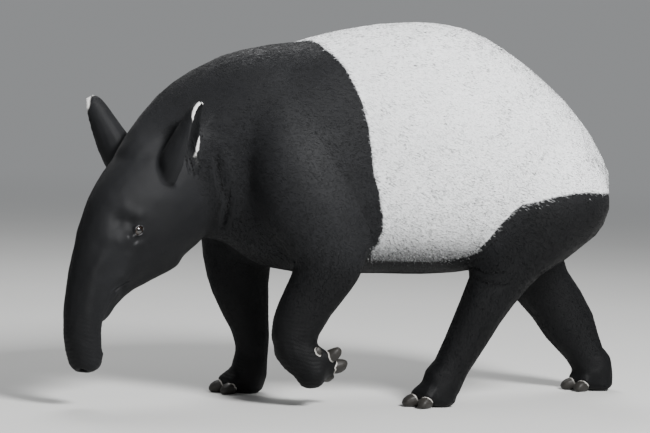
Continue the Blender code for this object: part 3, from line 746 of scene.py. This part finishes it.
class Nodes:
    """Builds a material's nodes in a few words."""

    def __init__(self, name):
        self.material = bpy.data.materials.new(name)
        self.material.use_nodes = True
        self.tree = self.material.node_tree
        self.surface = self.tree.nodes["Principled BSDF"]

    def add(self, kind, **settings):
        node = self.tree.nodes.new(kind)
        for key, value in settings.items():
            setattr(node, key, value)
        return node

    def join(self, source, target):
        self.tree.links.new(source, target)

    def feed(self, socket, value):
        """Gives an input a number, a colour or what another node puts out."""
        if isinstance(value, bpy.types.NodeSocket):
            self.join(value, socket)
        else:
            socket.default_value = (*value, 1.0) if isinstance(value, tuple) else value

    def attribute(self, name):
        return self.add("ShaderNodeAttribute", attribute_name=name).outputs["Fac"]

    def object_place(self):
        return self.add("ShaderNodeTexCoord").outputs["Object"]

    def noise(self, scale, detail, roughness, place=None):
        node = self.add("ShaderNodeTexNoise")
        node.inputs["Scale"].default_value = scale
        node.inputs["Detail"].default_value = detail
        node.inputs["Roughness"].default_value = roughness
        self.join(place or self.object_place(), node.inputs["Vector"])
        return node.outputs["Fac"]

    def stretched(self, factors, turn=(0.0, 0.0, 0.0)):
        """Object coordinates stretched by factors, for grain that runs one way."""
        node = self.add("ShaderNodeMapping")
        node.inputs["Scale"].default_value = factors
        node.inputs["Rotation"].default_value = turn
        self.join(self.object_place(), node.inputs["Vector"])
        return node.outputs["Vector"]

    def math(self, operation, first, second):
        node = self.add("ShaderNodeMath", operation=operation)
        self.feed(node.inputs[0], first)
        self.feed(node.inputs[1], second)
        return node.outputs[0]

    def ramp(self, factor, stops):
        node = self.add("ShaderNodeValToRGB")
        elements = node.color_ramp.elements
        while len(elements) < len(stops):
            elements.new(0.5)
        for element, (place, colour) in zip(elements, stops):
            element.position = place
            element.color = (*colour, 1.0)
        self.join(factor, node.inputs["Fac"])
        return node.outputs["Color"]

    def mix(self, factor, first, second):
        node = self.add("ShaderNodeMix", data_type="RGBA")
        self.feed(node.inputs["Factor"], factor)
        self.feed(node.inputs[6], first)
        self.feed(node.inputs[7], second)
        return node.outputs[2]

    def bump(self, height, strength, distance):
        node = self.add("ShaderNodeBump")
        node.inputs["Strength"].default_value = strength
        node.inputs["Distance"].default_value = distance
        self.join(height, node.inputs["Height"])
        self.join(node.outputs["Normal"], self.surface.inputs["Normal"])

    def finish(self, colour, numbers):
        """Gives the shader its colour and the plain numbers of its other inputs."""
        for name, value in {"Base Color": colour, **numbers}.items():
            self.feed(self.surface.inputs[name], value)
        return self.material


def skin_material(look):
    """Dark or pale hide under the coat, with the same markings as the coat."""
    n = Nodes("tapir_hide")
    grain = n.noise(900.0, 2.0, 0.6, n.stretched((0.35, 1.0, 1.0), (0.0, 0.4, 0.0)))
    broad = n.noise(14.0, 3.0, 0.55)
    dark = n.mix(broad, scaled(look.black, 1.0), scaled(look.black, 1.7))
    # Painted shade: darker hide on the legs, the thighs under the saddle, the snout's front and the lower
    # face.
    dark = n.mix(n.attribute("painted_shade"), dark, scaled(look.black, 0.5))
    pale = n.mix(broad, scaled(look.white, 0.86), scaled(look.white, 1.0))
    fleck = n.math("LESS_THAN", grain, 0.36)
    pale = n.mix(fleck, pale, (0.16, 0.16, 0.17))
    edge = n.math("ADD", n.attribute("pale"), n.math("MULTIPLY", n.math("SUBTRACT", grain, 0.5), 1.3))
    is_pale = n.math("GREATER_THAN", edge, 0.0)
    # Dark flecks in the pale towards the belly: dark hair and painted shade.
    under = n.math("MULTIPLY", n.attribute("belly"), n.math("GREATER_THAN", grain, 0.42))
    is_pale = n.math("MULTIPLY", is_pale, n.math("SUBTRACT", 1.0, under))
    colour = n.mix(is_pale, dark, pale)
    colour = n.mix(n.attribute("rim"), colour, scaled(look.rim, 1.0))
    # Painted highlights: pale wet glints on the lids' edges, by the inner corners and on the wrinkles
    # under the eyes.
    colour = n.mix(n.attribute("lids"), colour, (0.13, 0.13, 0.135))
    n.bump(n.noise(700.0, 3.0, 0.6, n.stretched((0.4, 1.0, 1.0), (0.0, 0.4, 0.0))), 0.55, 0.0012)
    plain = {"Roughness": 0.58, "Specular IOR Level": 0.14, "Sheen Weight": 0.02, "Sheen Roughness": 0.45}
    return n.finish(colour, plain)


# The lower gloss makes a shaded copy of the coat: painted shade for the tufts on the legs, the thighs
# under the saddle, the snout's front and the lower face.
BODY_GLOSS, LEG_GLOSS = 0.17, 0.04


def coat_material(look, name, gloss):
    """Each tuft is wholly dark or wholly pale, with a shade of its own."""
    n = Nodes(name)
    shade = n.attribute("shade")
    dark = n.ramp(shade, ((0.0, scaled(look.black, 0.7)), (1.0, scaled(look.black, 1.7))))
    pale = n.ramp(shade, ((0.0, scaled(look.white, 0.62)), (1.0, scaled(look.white, 1.14))))
    colour = n.mix(n.attribute("pale"), dark, pale)
    plain = {"Roughness": 0.46, "Specular IOR Level": gloss, "Sheen Weight": 0.02, "Sheen Roughness": 0.40}
    return n.finish(colour, plain)


def eye_material(look):
    """A wide dark pupil, a thin brown iris and a dark rim under a clear gloss."""
    n = Nodes("tapir_eye")
    gaze = n.attribute("gaze")
    colour = n.ramp(
        gaze,
        (
            (0.00, (0.002, 0.002, 0.002)),
            (0.30, (0.003, 0.002, 0.002)),
            (0.36, scaled(look.iris, 1.0)),
            (0.62, scaled(look.iris, 0.6)),
            (0.70, (0.004, 0.003, 0.003)),
            (1.00, (0.05, 0.03, 0.025)),
        ),
    )
    return n.finish(colour, {"Roughness": 0.06, "Coat Weight": 1.0, "Coat Roughness": 0.02})


def hoof_material(look):
    """Dark streaked horn, worn in patches, with a pale cuticle at its root."""
    n = Nodes("hoof_horn")
    streak = n.noise(260.0, 3.0, 0.6, n.stretched((1.0, 1.0, 0.12)))
    wear = n.noise(45.0, 4.0, 0.6)
    horn = n.mix(streak, scaled(look.horn, 0.55), scaled(look.horn, 1.5))
    horn = n.mix(n.math("MULTIPLY", wear, 0.35), horn, (0.040, 0.036, 0.030))
    colour = n.mix(n.attribute("cuticle"), horn, (0.52, 0.50, 0.47))
    n.bump(streak, 0.35, 0.0008)
    return n.finish(colour, {"Roughness": 0.50, "Specular IOR Level": 0.25})


STUDIO_AIR, STUDIO_GLOW = (0.93, 0.95, 0.97), 0.30
FLOOR_SIZE, FLOOR_FADE = 60.0, (3.0, 12.0)


def floor_material():
    """A plain pale floor that fades into the air of the studio far from the figure."""
    n = Nodes("studio_floor")
    cloud = n.noise(1.2, 2.0, 0.5)
    n.finish(n.mix(cloud, (0.52, 0.52, 0.51), (0.55, 0.55, 0.54)), {"Roughness": 0.85})
    far = n.add("ShaderNodeVectorMath", operation="LENGTH")
    n.join(n.object_place(), far.inputs[0])
    fade = n.add("ShaderNodeMapRange", interpolation_type="SMOOTHSTEP")
    n.join(far.outputs["Value"], fade.inputs["Value"])
    fade.inputs["From Min"].default_value, fade.inputs["From Max"].default_value = FLOOR_FADE
    glow = n.add("ShaderNodeEmission")
    glow.inputs["Color"].default_value = (*STUDIO_AIR, 1.0)
    glow.inputs["Strength"].default_value = STUDIO_GLOW
    blend = n.add("ShaderNodeMixShader")
    n.join(fade.outputs["Result"], blend.inputs["Fac"])
    n.join(n.surface.outputs["BSDF"], blend.inputs[1])
    n.join(glow.outputs["Emission"], blend.inputs[2])
    n.join(blend.outputs["Shader"], n.tree.nodes["Material Output"].inputs["Surface"])
    return n.material


# The coat.


def coat_flow(co, normal):
    """The way the hair lies, from root to tip, along the skin."""
    ahead, height, _left = in_head(co)
    head = head_share(co)[:, None]
    back = np.array((1.0, 0.0, -0.42))
    down = np.array((0.18, 0.0, -1.0))
    leg = (ease(co[:, 2], 0.52, 0.38) * ease(np.abs(co[:, 1]), 0.05, 0.10))[:, None]
    body = back * (1 - leg) + down * leg
    poll = np.array(HEAD_AHEAD) * -0.64 + np.array(UP) * 0.77
    cheek = np.array(HEAD_AHEAD) * -1.0 - np.array(UP) * 0.25
    side = (ease(height, 0.02, -0.08) * ease(ahead, 0.08, 0.0))[:, None]
    face = poll * (1 - side) + cheek * side
    way = body * (1 - head) + face * head
    for root, tip, _opening in EARS.values():
        gap, place = along_path(co, (root, tip))
        on = (ease(gap, 0.060, 0.048) * ease(place, 0.02, 0.16))[:, None]
        way = way * (1 - on) + np.array((tip - root).normalized()) * on
    way = way + 0.10 * np.stack([ripple(co, 0.16, s) for s in (21, 22, 23)], 1)
    way = way - normal * (way * normal).sum(1, keepdims=True)
    return unit(way)


class Roots:
    """Places on the skin where tufts grow, drawn by area and by how dense the coat is."""

    def __init__(self, skin, density, seed):
        mesh = skin.data
        mesh.calc_loop_triangles()
        count = len(mesh.loop_triangles)
        corners = np.empty(count * 3, np.int32)
        loops = np.empty(count * 3, np.int32)
        mesh.loop_triangles.foreach_get("vertices", corners)
        mesh.loop_triangles.foreach_get("loops", loops)
        corners, loops = corners.reshape(-1, 3), loops.reshape(-1, 3)
        co, normal = points(mesh), normals(mesh)
        uv = np.empty(len(mesh.loops) * 2)
        mesh.uv_layers["OFBake"].uv.foreach_get("vector", uv)
        uv = uv.reshape(-1, 2)
        a, b, c = (co[corners[:, k]] for k in range(3))
        area = np.linalg.norm(np.cross(b - a, c - a), axis=1) / 2
        centre = (a + b + c) / 3
        share = np.cumsum(area * density(centre))
        self.draw = np.random.default_rng(seed)
        self.count = int(share[-1])
        picks = (np.arange(self.count) + self.draw.random(self.count)) / self.count * share[-1]
        face = np.minimum(np.searchsorted(share, picks), count - 1)
        p, q = self.draw.random(self.count), self.draw.random(self.count)
        over = p + q > 1
        p[over], q[over] = 1 - p[over], 1 - q[over]
        mixing = np.stack([1 - p - q, p, q], 1)[:, :, None]
        self.co = (co[corners[face]] * mixing).sum(1)
        self.normal = unit((normal[corners[face]] * mixing).sum(1))
        self.uv = (uv[loops[face]] * mixing).sum(1)


# Tufts for each square metre, in one piece at the most, and the half side of a tuft's patch on the unwrap.
BODY_TUFTS, FACE_TUFTS = 82000, 152000
TUFTS_A_PIECE = 48000
PATCH = 0.0015


def tuft_density(co):
    """How close the tufts stand: closest on the face and feet, none on the soles and the eyes."""
    fine = np.maximum(head_share(co), foot_share(co))
    ear, _rim = ear_marks(co)
    many = BODY_TUFTS + (FACE_TUFTS - BODY_TUFTS) * np.maximum(fine, ear)
    many = many * ease(co[:, 2], 0.001, 0.006)
    for side in (LEFT, RIGHT):
        many = many * ease(np.linalg.norm(co - eye_front(side), axis=1), 0.015, 0.024)
    return many


def laid(hide, spots, heights):
    """Spots moved to their own heights over the nearest face of the skin."""
    placed = np.empty_like(spots)
    for i, (spot, height) in enumerate(zip(spots.tolist(), heights.tolist())):
        foot, outward, _index, _gap = hide.find_nearest(spot)
        placed[i] = foot + outward * height
    return placed


def tuft_mesh(name, hide, roots, chosen, length, width, lift, shade, pale):
    """Joined tufts, each a thin solid sliver of four triangles with its patch on the skin's unwrap."""
    draw = roots.draw
    n = len(chosen)
    co, normal, uv = roots.co[chosen], roots.normal[chosen], roots.uv[chosen]
    way = coat_flow(co, normal)
    side = np.cross(normal, way)
    yaw = draw.normal(0, 0.13, n)[:, None]
    way = unit(way + side * yaw)
    side = np.cross(normal, way)
    rise = np.tan(lift)
    sunk = co - normal * 0.0006
    half = (width / 2)[:, None]
    reach = length[:, None]
    mid = laid(hide, co + way * reach * 0.42, length * 0.42 * rise + width * 0.15)
    astray = side * (draw.normal(0, 0.05, n)[:, None] * reach)
    tip = laid(hide, co + way * reach + astray, length * rise * 0.8)
    sunk[:, 2], mid[:, 2], tip[:, 2] = (np.maximum(part[:, 2], 0.0002) for part in (sunk, mid, tip))
    corners = np.stack([sunk - side * half, sunk + side * half, mid, tip], 1).reshape(-1, 3)
    order = np.array([(0, 3, 2), (1, 2, 3), (0, 2, 1), (0, 1, 3)]).ravel()
    faces = (np.arange(n)[:, None] * 4 + order).ravel()
    mesh = bpy.data.meshes.new(name)
    mesh.vertices.add(4 * n)
    mesh.vertices.foreach_set("co", corners.astype(np.float32).ravel())
    mesh.loops.add(12 * n)
    mesh.loops.foreach_set("vertex_index", faces.astype(np.int32))
    mesh.polygons.add(4 * n)
    mesh.polygons.foreach_set("loop_start", np.arange(0, 12 * n, 3, dtype=np.int32))
    mesh.update(calc_edges=True)
    patch = PATCH * np.array([(-1, -1), (1, -1), (0, 0), (0, 1)])
    spots = np.clip(uv[:, None, :] + patch, 0, 1)
    layer = mesh.uv_layers.new(name="OFBake")
    layer.uv.foreach_set("vector", spots[:, order, :].astype(np.float32).ravel())
    set_attribute(mesh, "shade", np.repeat(shade, 4))
    set_attribute(mesh, "pale", np.repeat(pale, 4))
    return new_object(name, mesh)


def painted_shade_share(co):
    """Painted shade: 1 on the legs and the thighs under the saddle, less on the snout's front and the
    lower face, 0 on the trunk and the head's top.
    """
    ahead, height, _left = in_head(co)
    rise = 0.20 * ease(co[:, 0], 0.28, 0.46)
    legs = ease(co[:, 2] - rise, 0.46, 0.34) * (1 - ease(ahead, -0.20, -0.12))
    jaw = head_share(co) * ease(height, 0.13, 0.0) * ease(ahead, 0.13, 0.06)
    return legs + 0.6 * ease(ahead, 0.10, 0.19) + 0.5 * jaw


# A patch of grey tufts on the crest before the saddle, partly greying hair and partly a painted sheen
# where light catches the top of the back: its middle and its size each way.
CREST_GREY_AND_SHEEN, CREST_GREY_AND_SHEEN_SIZE, CREST_GREY_AND_SHEEN_TONE = (-0.330, -0.060, 0.990), (0.075, 0.045, 0.045), 0.22


def tuft_tones(roots):
    """Each tuft's own shade and whether it is pale."""
    co, draw = roots.co, roots.draw
    depth = saddle_depth(co) + draw.normal(0, 0.0055, roots.count)
    stray = draw.random(roots.count)
    belly = dark_hair_and_shade_share(co)
    # More dark tufts towards the bottom of the saddle and along the belly, dark hair and painted shade,
    # and on its top, dark mottle and painted shade.
    mixed = 0.05 + 0.14 * ease(co[:, 2], 0.78, 0.46) + 0.10 * ease(co[:, 2], 0.94, 1.04) + 0.66 * belly
    pale = (depth > 0) & (stray > mixed)
    _ear, rim = ear_marks(co)
    pale = pale | (rim > 0.5)
    shade = 0.5 + 0.07 * ripple(co, 0.22, 31) + draw.normal(0, 0.22, roots.count)
    # Painted shade: tufts on the legs, the thighs under the saddle, the snout's front and the lower face
    # are darker.
    shade = np.clip(shade - 0.35 * painted_shade_share(co), 0, 1)
    crest_gap = np.linalg.norm((co - np.array(CREST_GREY_AND_SHEEN)) / np.array(CREST_GREY_AND_SHEEN_SIZE), axis=1)
    # Grey tufts on the crest: greying hair and a painted sheen.
    grey_and_sheen = draw.random(roots.count) < 0.10 * ease(crest_gap, 1.3, 0.2)
    mottled = draw.random(roots.count) < 0.30 * ease(ripple(co, 0.06, 51), 0.2, 1.6)
    pale = pale & ~(mottled & (depth > 0))
    return shade, np.where(grey_and_sheen & ~pale, CREST_GREY_AND_SHEEN_TONE, pale.astype(float))


def tuft_sizes(roots, sizes):
    """Each tuft's length, width and lift from the skin."""
    co, draw = roots.co, roots.draw
    ear, _rim = ear_marks(co)
    fine = np.maximum.reduce([head_share(co), foot_share(co), ear])
    leg = ease(co[:, 2], 0.46, 0.30)
    length = sizes.body_hair + (sizes.leg_hair - sizes.body_hair) * leg
    length = (length + (sizes.face_hair - length) * fine) * draw.uniform(0.7, 1.25, roots.count)
    width = sizes.body_tuft + (sizes.face_tuft - sizes.body_tuft) * fine
    width *= draw.uniform(0.7, 1.25, roots.count)
    lift = np.radians(draw.uniform(2, 6, roots.count))
    return length, width, lift


# Operators.


class TapirSizes(bpy.types.PropertyGroup):
    """How long, wide and many the tufts are"""

    coat_share: bpy.props.FloatProperty(
        name="Coat Density",
        description="Share of the full number of tufts",
        default=1.0,
        min=0.05,
        max=1.0,
        subtype="FACTOR",
    )
    body_hair: bpy.props.FloatProperty(
        name="Body Hair", description="Length of the tufts on the trunk", default=0.0110, unit="LENGTH"
    )
    leg_hair: bpy.props.FloatProperty(
        name="Leg Hair", description="Length of the tufts on the legs", default=0.0080, unit="LENGTH"
    )
    face_hair: bpy.props.FloatProperty(
        name="Face Hair", description="Length of the tufts on head and feet", default=0.0056, unit="LENGTH"
    )
    body_tuft: bpy.props.FloatProperty(
        name="Body Tuft", description="Width of the tufts on the trunk", default=0.0013, unit="LENGTH"
    )
    face_tuft: bpy.props.FloatProperty(
        name="Face Tuft", description="Width of the tufts on head and feet", default=0.0009, unit="LENGTH"
    )


class TapirLooks(bpy.types.PropertyGroup):
    """The figure's colours"""

    black: bpy.props.FloatVectorProperty(
        name="Black Coat", description="Colour of the dark hair", subtype="COLOR",
        default=(0.0068, 0.0071, 0.0079),
    )
    white: bpy.props.FloatVectorProperty(
        name="Pale Coat", description="Colour of the saddle's hair", subtype="COLOR",
        default=(0.76, 0.77, 0.78),
    )
    rim: bpy.props.FloatVectorProperty(
        name="Ear Rim", description="Colour of the ears' pale rims", subtype="COLOR",
        default=(0.80, 0.79, 0.77),
    )
    iris: bpy.props.FloatVectorProperty(
        name="Iris", description="Colour of the iris", subtype="COLOR",
        default=(0.022, 0.011, 0.006),
    )
    horn: bpy.props.FloatVectorProperty(
        name="Horn", description="Colour of the hooves", subtype="COLOR",
        default=(0.016, 0.015, 0.014),
    )


class TAPIR_OT_skin(bpy.types.Operator):
    """Make one skin over all the flesh, with lids, mouth, nostrils and folds"""

    bl_idname = "tapir.skin"
    bl_label = "Make Skin"

    def execute(self, context):
        skin = fused_flesh()
        for step in (soften, sink, sculpt, lighten):
            step(skin)
        skin.vertex_groups.clear()
        mark(skin)
        unwrap(skin)
        only(skin)
        bpy.ops.object.shade_smooth()
        finish_piece(skin, skin_material(context.scene.tapir_looks), "black_coat", *FLESH)
        return {"FINISHED"}


class TAPIR_OT_coat(bpy.types.Operator):
    """Grow the short coat of solid tufts over the skin"""

    bl_idname = "tapir.coat"
    bl_label = "Grow Coat"

    def execute(self, context):
        skin = bpy.data.objects["tapir_skin"]
        sizes = context.scene.tapir_sizes
        roots = Roots(skin, lambda co: tuft_density(co) * sizes.coat_share, 5)
        hide = surface_of(skin)
        tuft_rows = (*tuft_sizes(roots, sizes), *tuft_tones(roots))
        looks = context.scene.tapir_looks
        # Tufts under painted shade go into the shaded copy of the coat, which has less gloss.
        legs = painted_shade_share(roots.co) > roots.draw.random(roots.count)
        for name, gloss, part in (("tapir_coat", BODY_GLOSS, ~legs), ("tapir_shaded_coat", LEG_GLOSS, legs)):
            material = coat_material(looks, name, gloss)
            order = np.nonzero(part)[0]
            order = order[np.argsort(roots.co[order, 0], kind="stable")]
            for k, chosen in enumerate(np.array_split(order, math.ceil(len(order) / TUFTS_A_PIECE))):
                rows = (row[chosen] for row in tuft_rows)
                coat = tuft_mesh(f"{name}_{k + 1}", hide, roots, chosen, *rows)
                finish_piece(coat, material, "black_coat")
        return {"FINISHED"}


class TAPIR_OT_eyes(bpy.types.Operator):
    """Make the glossy brown eyes"""

    bl_idname = "tapir.eyes"
    bl_label = "Make Eyes"

    def execute(self, context):
        material = eye_material(context.scene.tapir_looks)
        for side, node in ((LEFT, "eye_left"), (RIGHT, "eye_right")):
            centre, front, top, out = eye_frame(side)
            bpy.ops.mesh.primitive_uv_sphere_add(segments=48, ring_count=32, radius=EYE_RADIUS)
            eye = bpy.context.object
            eye.name = "tapir_" + node
            co = points(eye.data)
            turn = np.array(Matrix((front, top, out)))
            axis = co[:, 2] / EYE_RADIUS
            co *= (1 + 0.055 * ease(axis, 0.74, 0.90))[:, None]
            gaze = np.degrees(np.arccos(np.clip(axis, -1, 1))) / 90
            set_attribute(eye.data, "gaze", np.clip(gaze, 0, 1))
            if Matrix((front, top, out)).determinant() < 0:
                co[:, 0] *= -1
                eye.data.flip_normals()
            set_points(eye.data, co @ turn + np.array(centre))
            only(eye)
            bpy.ops.object.shade_smooth()
            finish_piece(eye, material, "eye_brown", node)
        return {"FINISHED"}


HOOF_VOXEL = 0.0020
# The pale cuticle fades out between these gaps to the hide.
CUTICLE = 0.0045, 0.0020


class TAPIR_OT_hooves(bpy.types.Operator):
    """Refine the hooves, with a pale cuticle at each root"""

    bl_idname = "tapir.hooves"
    bl_label = "Make Hooves"

    def execute(self, context):
        material = hoof_material(context.scene.tapir_looks)
        hide = surface_of(bpy.data.objects["tapir_skin"])
        for node in HOOVES:
            hoof = copied((node,), "tapir_" + node)
            apply(hoof, "REMESH", mode="VOXEL", voxel_size=HOOF_VOXEL)
            apply(hoof, "SMOOTH", factor=0.5, iterations=10)
            co = points(hoof.data)
            co += normals(hoof.data) * 0.0004
            co[:, 2] = np.maximum(co[:, 2], 0.0)
            set_points(hoof.data, co)
            gap = np.array([hide.find_nearest(Vector(p))[3] for p in co])
            set_attribute(hoof.data, "cuticle", ease(gap, *CUTICLE))
            only(hoof)
            bpy.ops.object.shade_smooth()
            finish_piece(hoof, material, "hoof_horn", node)
        return {"FINISHED"}


# Each soft light's name, place, width and power.
LIGHTS = (
    ("key_light", (1.6, -4.4, 4.2), 1.5, 860.0),
    ("fill_light", (-3.6, -5.0, 2.0), 3.0, 20.0),
    ("rim_light", (0.0, 2.6, 4.8), 2.0, 170.0),
)
LIT_PLACE = Vector((0.0, 0.0, 0.55))
CAMERA_AZIMUTH, CAMERA_ELEVATION, CAMERA_ROLL = math.radians(-15), math.radians(4), math.radians(1.7)
CAMERA_DISTANCE = 8.0
CAMERA_TARGET = Vector((-0.0890, -0.0003, 0.525))
CAMERA_LENS = 155.08


class TAPIR_OT_stage(bpy.types.Operator):
    """Set up the pale floor, the soft lights and the camera"""

    bl_idname = "tapir.stage"
    bl_label = "Set Stage"

    def execute(self, context):
        bpy.ops.mesh.primitive_plane_add(size=FLOOR_SIZE, location=(0.0, 0.0, 0.0))
        floor = bpy.context.object
        floor.name = "studio_floor"
        floor.data.materials.append(floor_material())
        for name, place, size, power in LIGHTS:
            bpy.ops.object.light_add(type="AREA", location=place)
            light = bpy.context.object
            light.name = name
            light.data.size = size
            light.data.energy = power
            light.rotation_euler = (LIT_PLACE - Vector(place)).to_track_quat("-Z", "Y").to_euler()
        world = bpy.data.worlds.new("studio_air")
        world.use_nodes = True
        world.node_tree.nodes["Background"].inputs["Color"].default_value = (*STUDIO_AIR, 1.0)
        world.node_tree.nodes["Background"].inputs["Strength"].default_value = STUDIO_GLOW
        context.scene.world = world
        back = Vector(
            (
                math.sin(CAMERA_AZIMUTH) * math.cos(CAMERA_ELEVATION),
                -math.cos(CAMERA_AZIMUTH) * math.cos(CAMERA_ELEVATION),
                math.sin(CAMERA_ELEVATION),
            )
        )
        right = UP.cross(back).normalized()
        up = back.cross(right)
        rolled_right = right * math.cos(CAMERA_ROLL) + up * math.sin(CAMERA_ROLL)
        rolled_up = up * math.cos(CAMERA_ROLL) - right * math.sin(CAMERA_ROLL)
        bpy.ops.object.camera_add()
        camera = bpy.context.object
        camera.name = "photo_camera"
        camera.data.lens = CAMERA_LENS
        camera.data.sensor_width = 36.0
        turn = Matrix((rolled_right, rolled_up, back)).transposed().to_4x4()
        camera.matrix_world = Matrix.Translation(CAMERA_TARGET + back * CAMERA_DISTANCE) @ turn
        context.scene.camera = camera
        return {"FINISHED"}


STEPS = (TAPIR_OT_skin, TAPIR_OT_coat, TAPIR_OT_eyes, TAPIR_OT_hooves, TAPIR_OT_stage)


class VIEW3D_PT_tapir(bpy.types.Panel):
    """Lists the steps that build the figure"""

    bl_label = "Tapir Figure"
    bl_idname = "VIEW3D_PT_tapir"
    bl_space_type = "VIEW_3D"
    bl_region_type = "UI"
    bl_category = "Tapir"

    def draw(self, context):
        layout = self.layout
        for settings in (context.scene.tapir_sizes, context.scene.tapir_looks):
            for name in type(settings).__annotations__:
                layout.prop(settings, name)
        for step in STEPS:
            layout.operator(step.bl_idname)


CLASSES = (TapirSizes, TapirLooks, *STEPS, VIEW3D_PT_tapir)


def register():
    """Adds the steps, the settings and the panel to Blender."""
    for cls in CLASSES:
        bpy.utils.register_class(cls)
    bpy.types.Scene.tapir_sizes = bpy.props.PointerProperty(type=TapirSizes)
    bpy.types.Scene.tapir_looks = bpy.props.PointerProperty(type=TapirLooks)


def unregister():
    """Takes them out again."""
    del bpy.types.Scene.tapir_sizes
    del bpy.types.Scene.tapir_looks
    for cls in reversed(CLASSES):
        bpy.utils.unregister_class(cls)


def main():
    """Builds the whole figure and its stage."""
    register()
    bpy.ops.object.select_all(action="DESELECT")
    bpy.ops.tapir.skin()
    bpy.ops.tapir.coat()
    bpy.ops.tapir.eyes()
    bpy.ops.tapir.hooves()
    bpy.ops.tapir.stage()


if __name__ == "__main__":
    main()
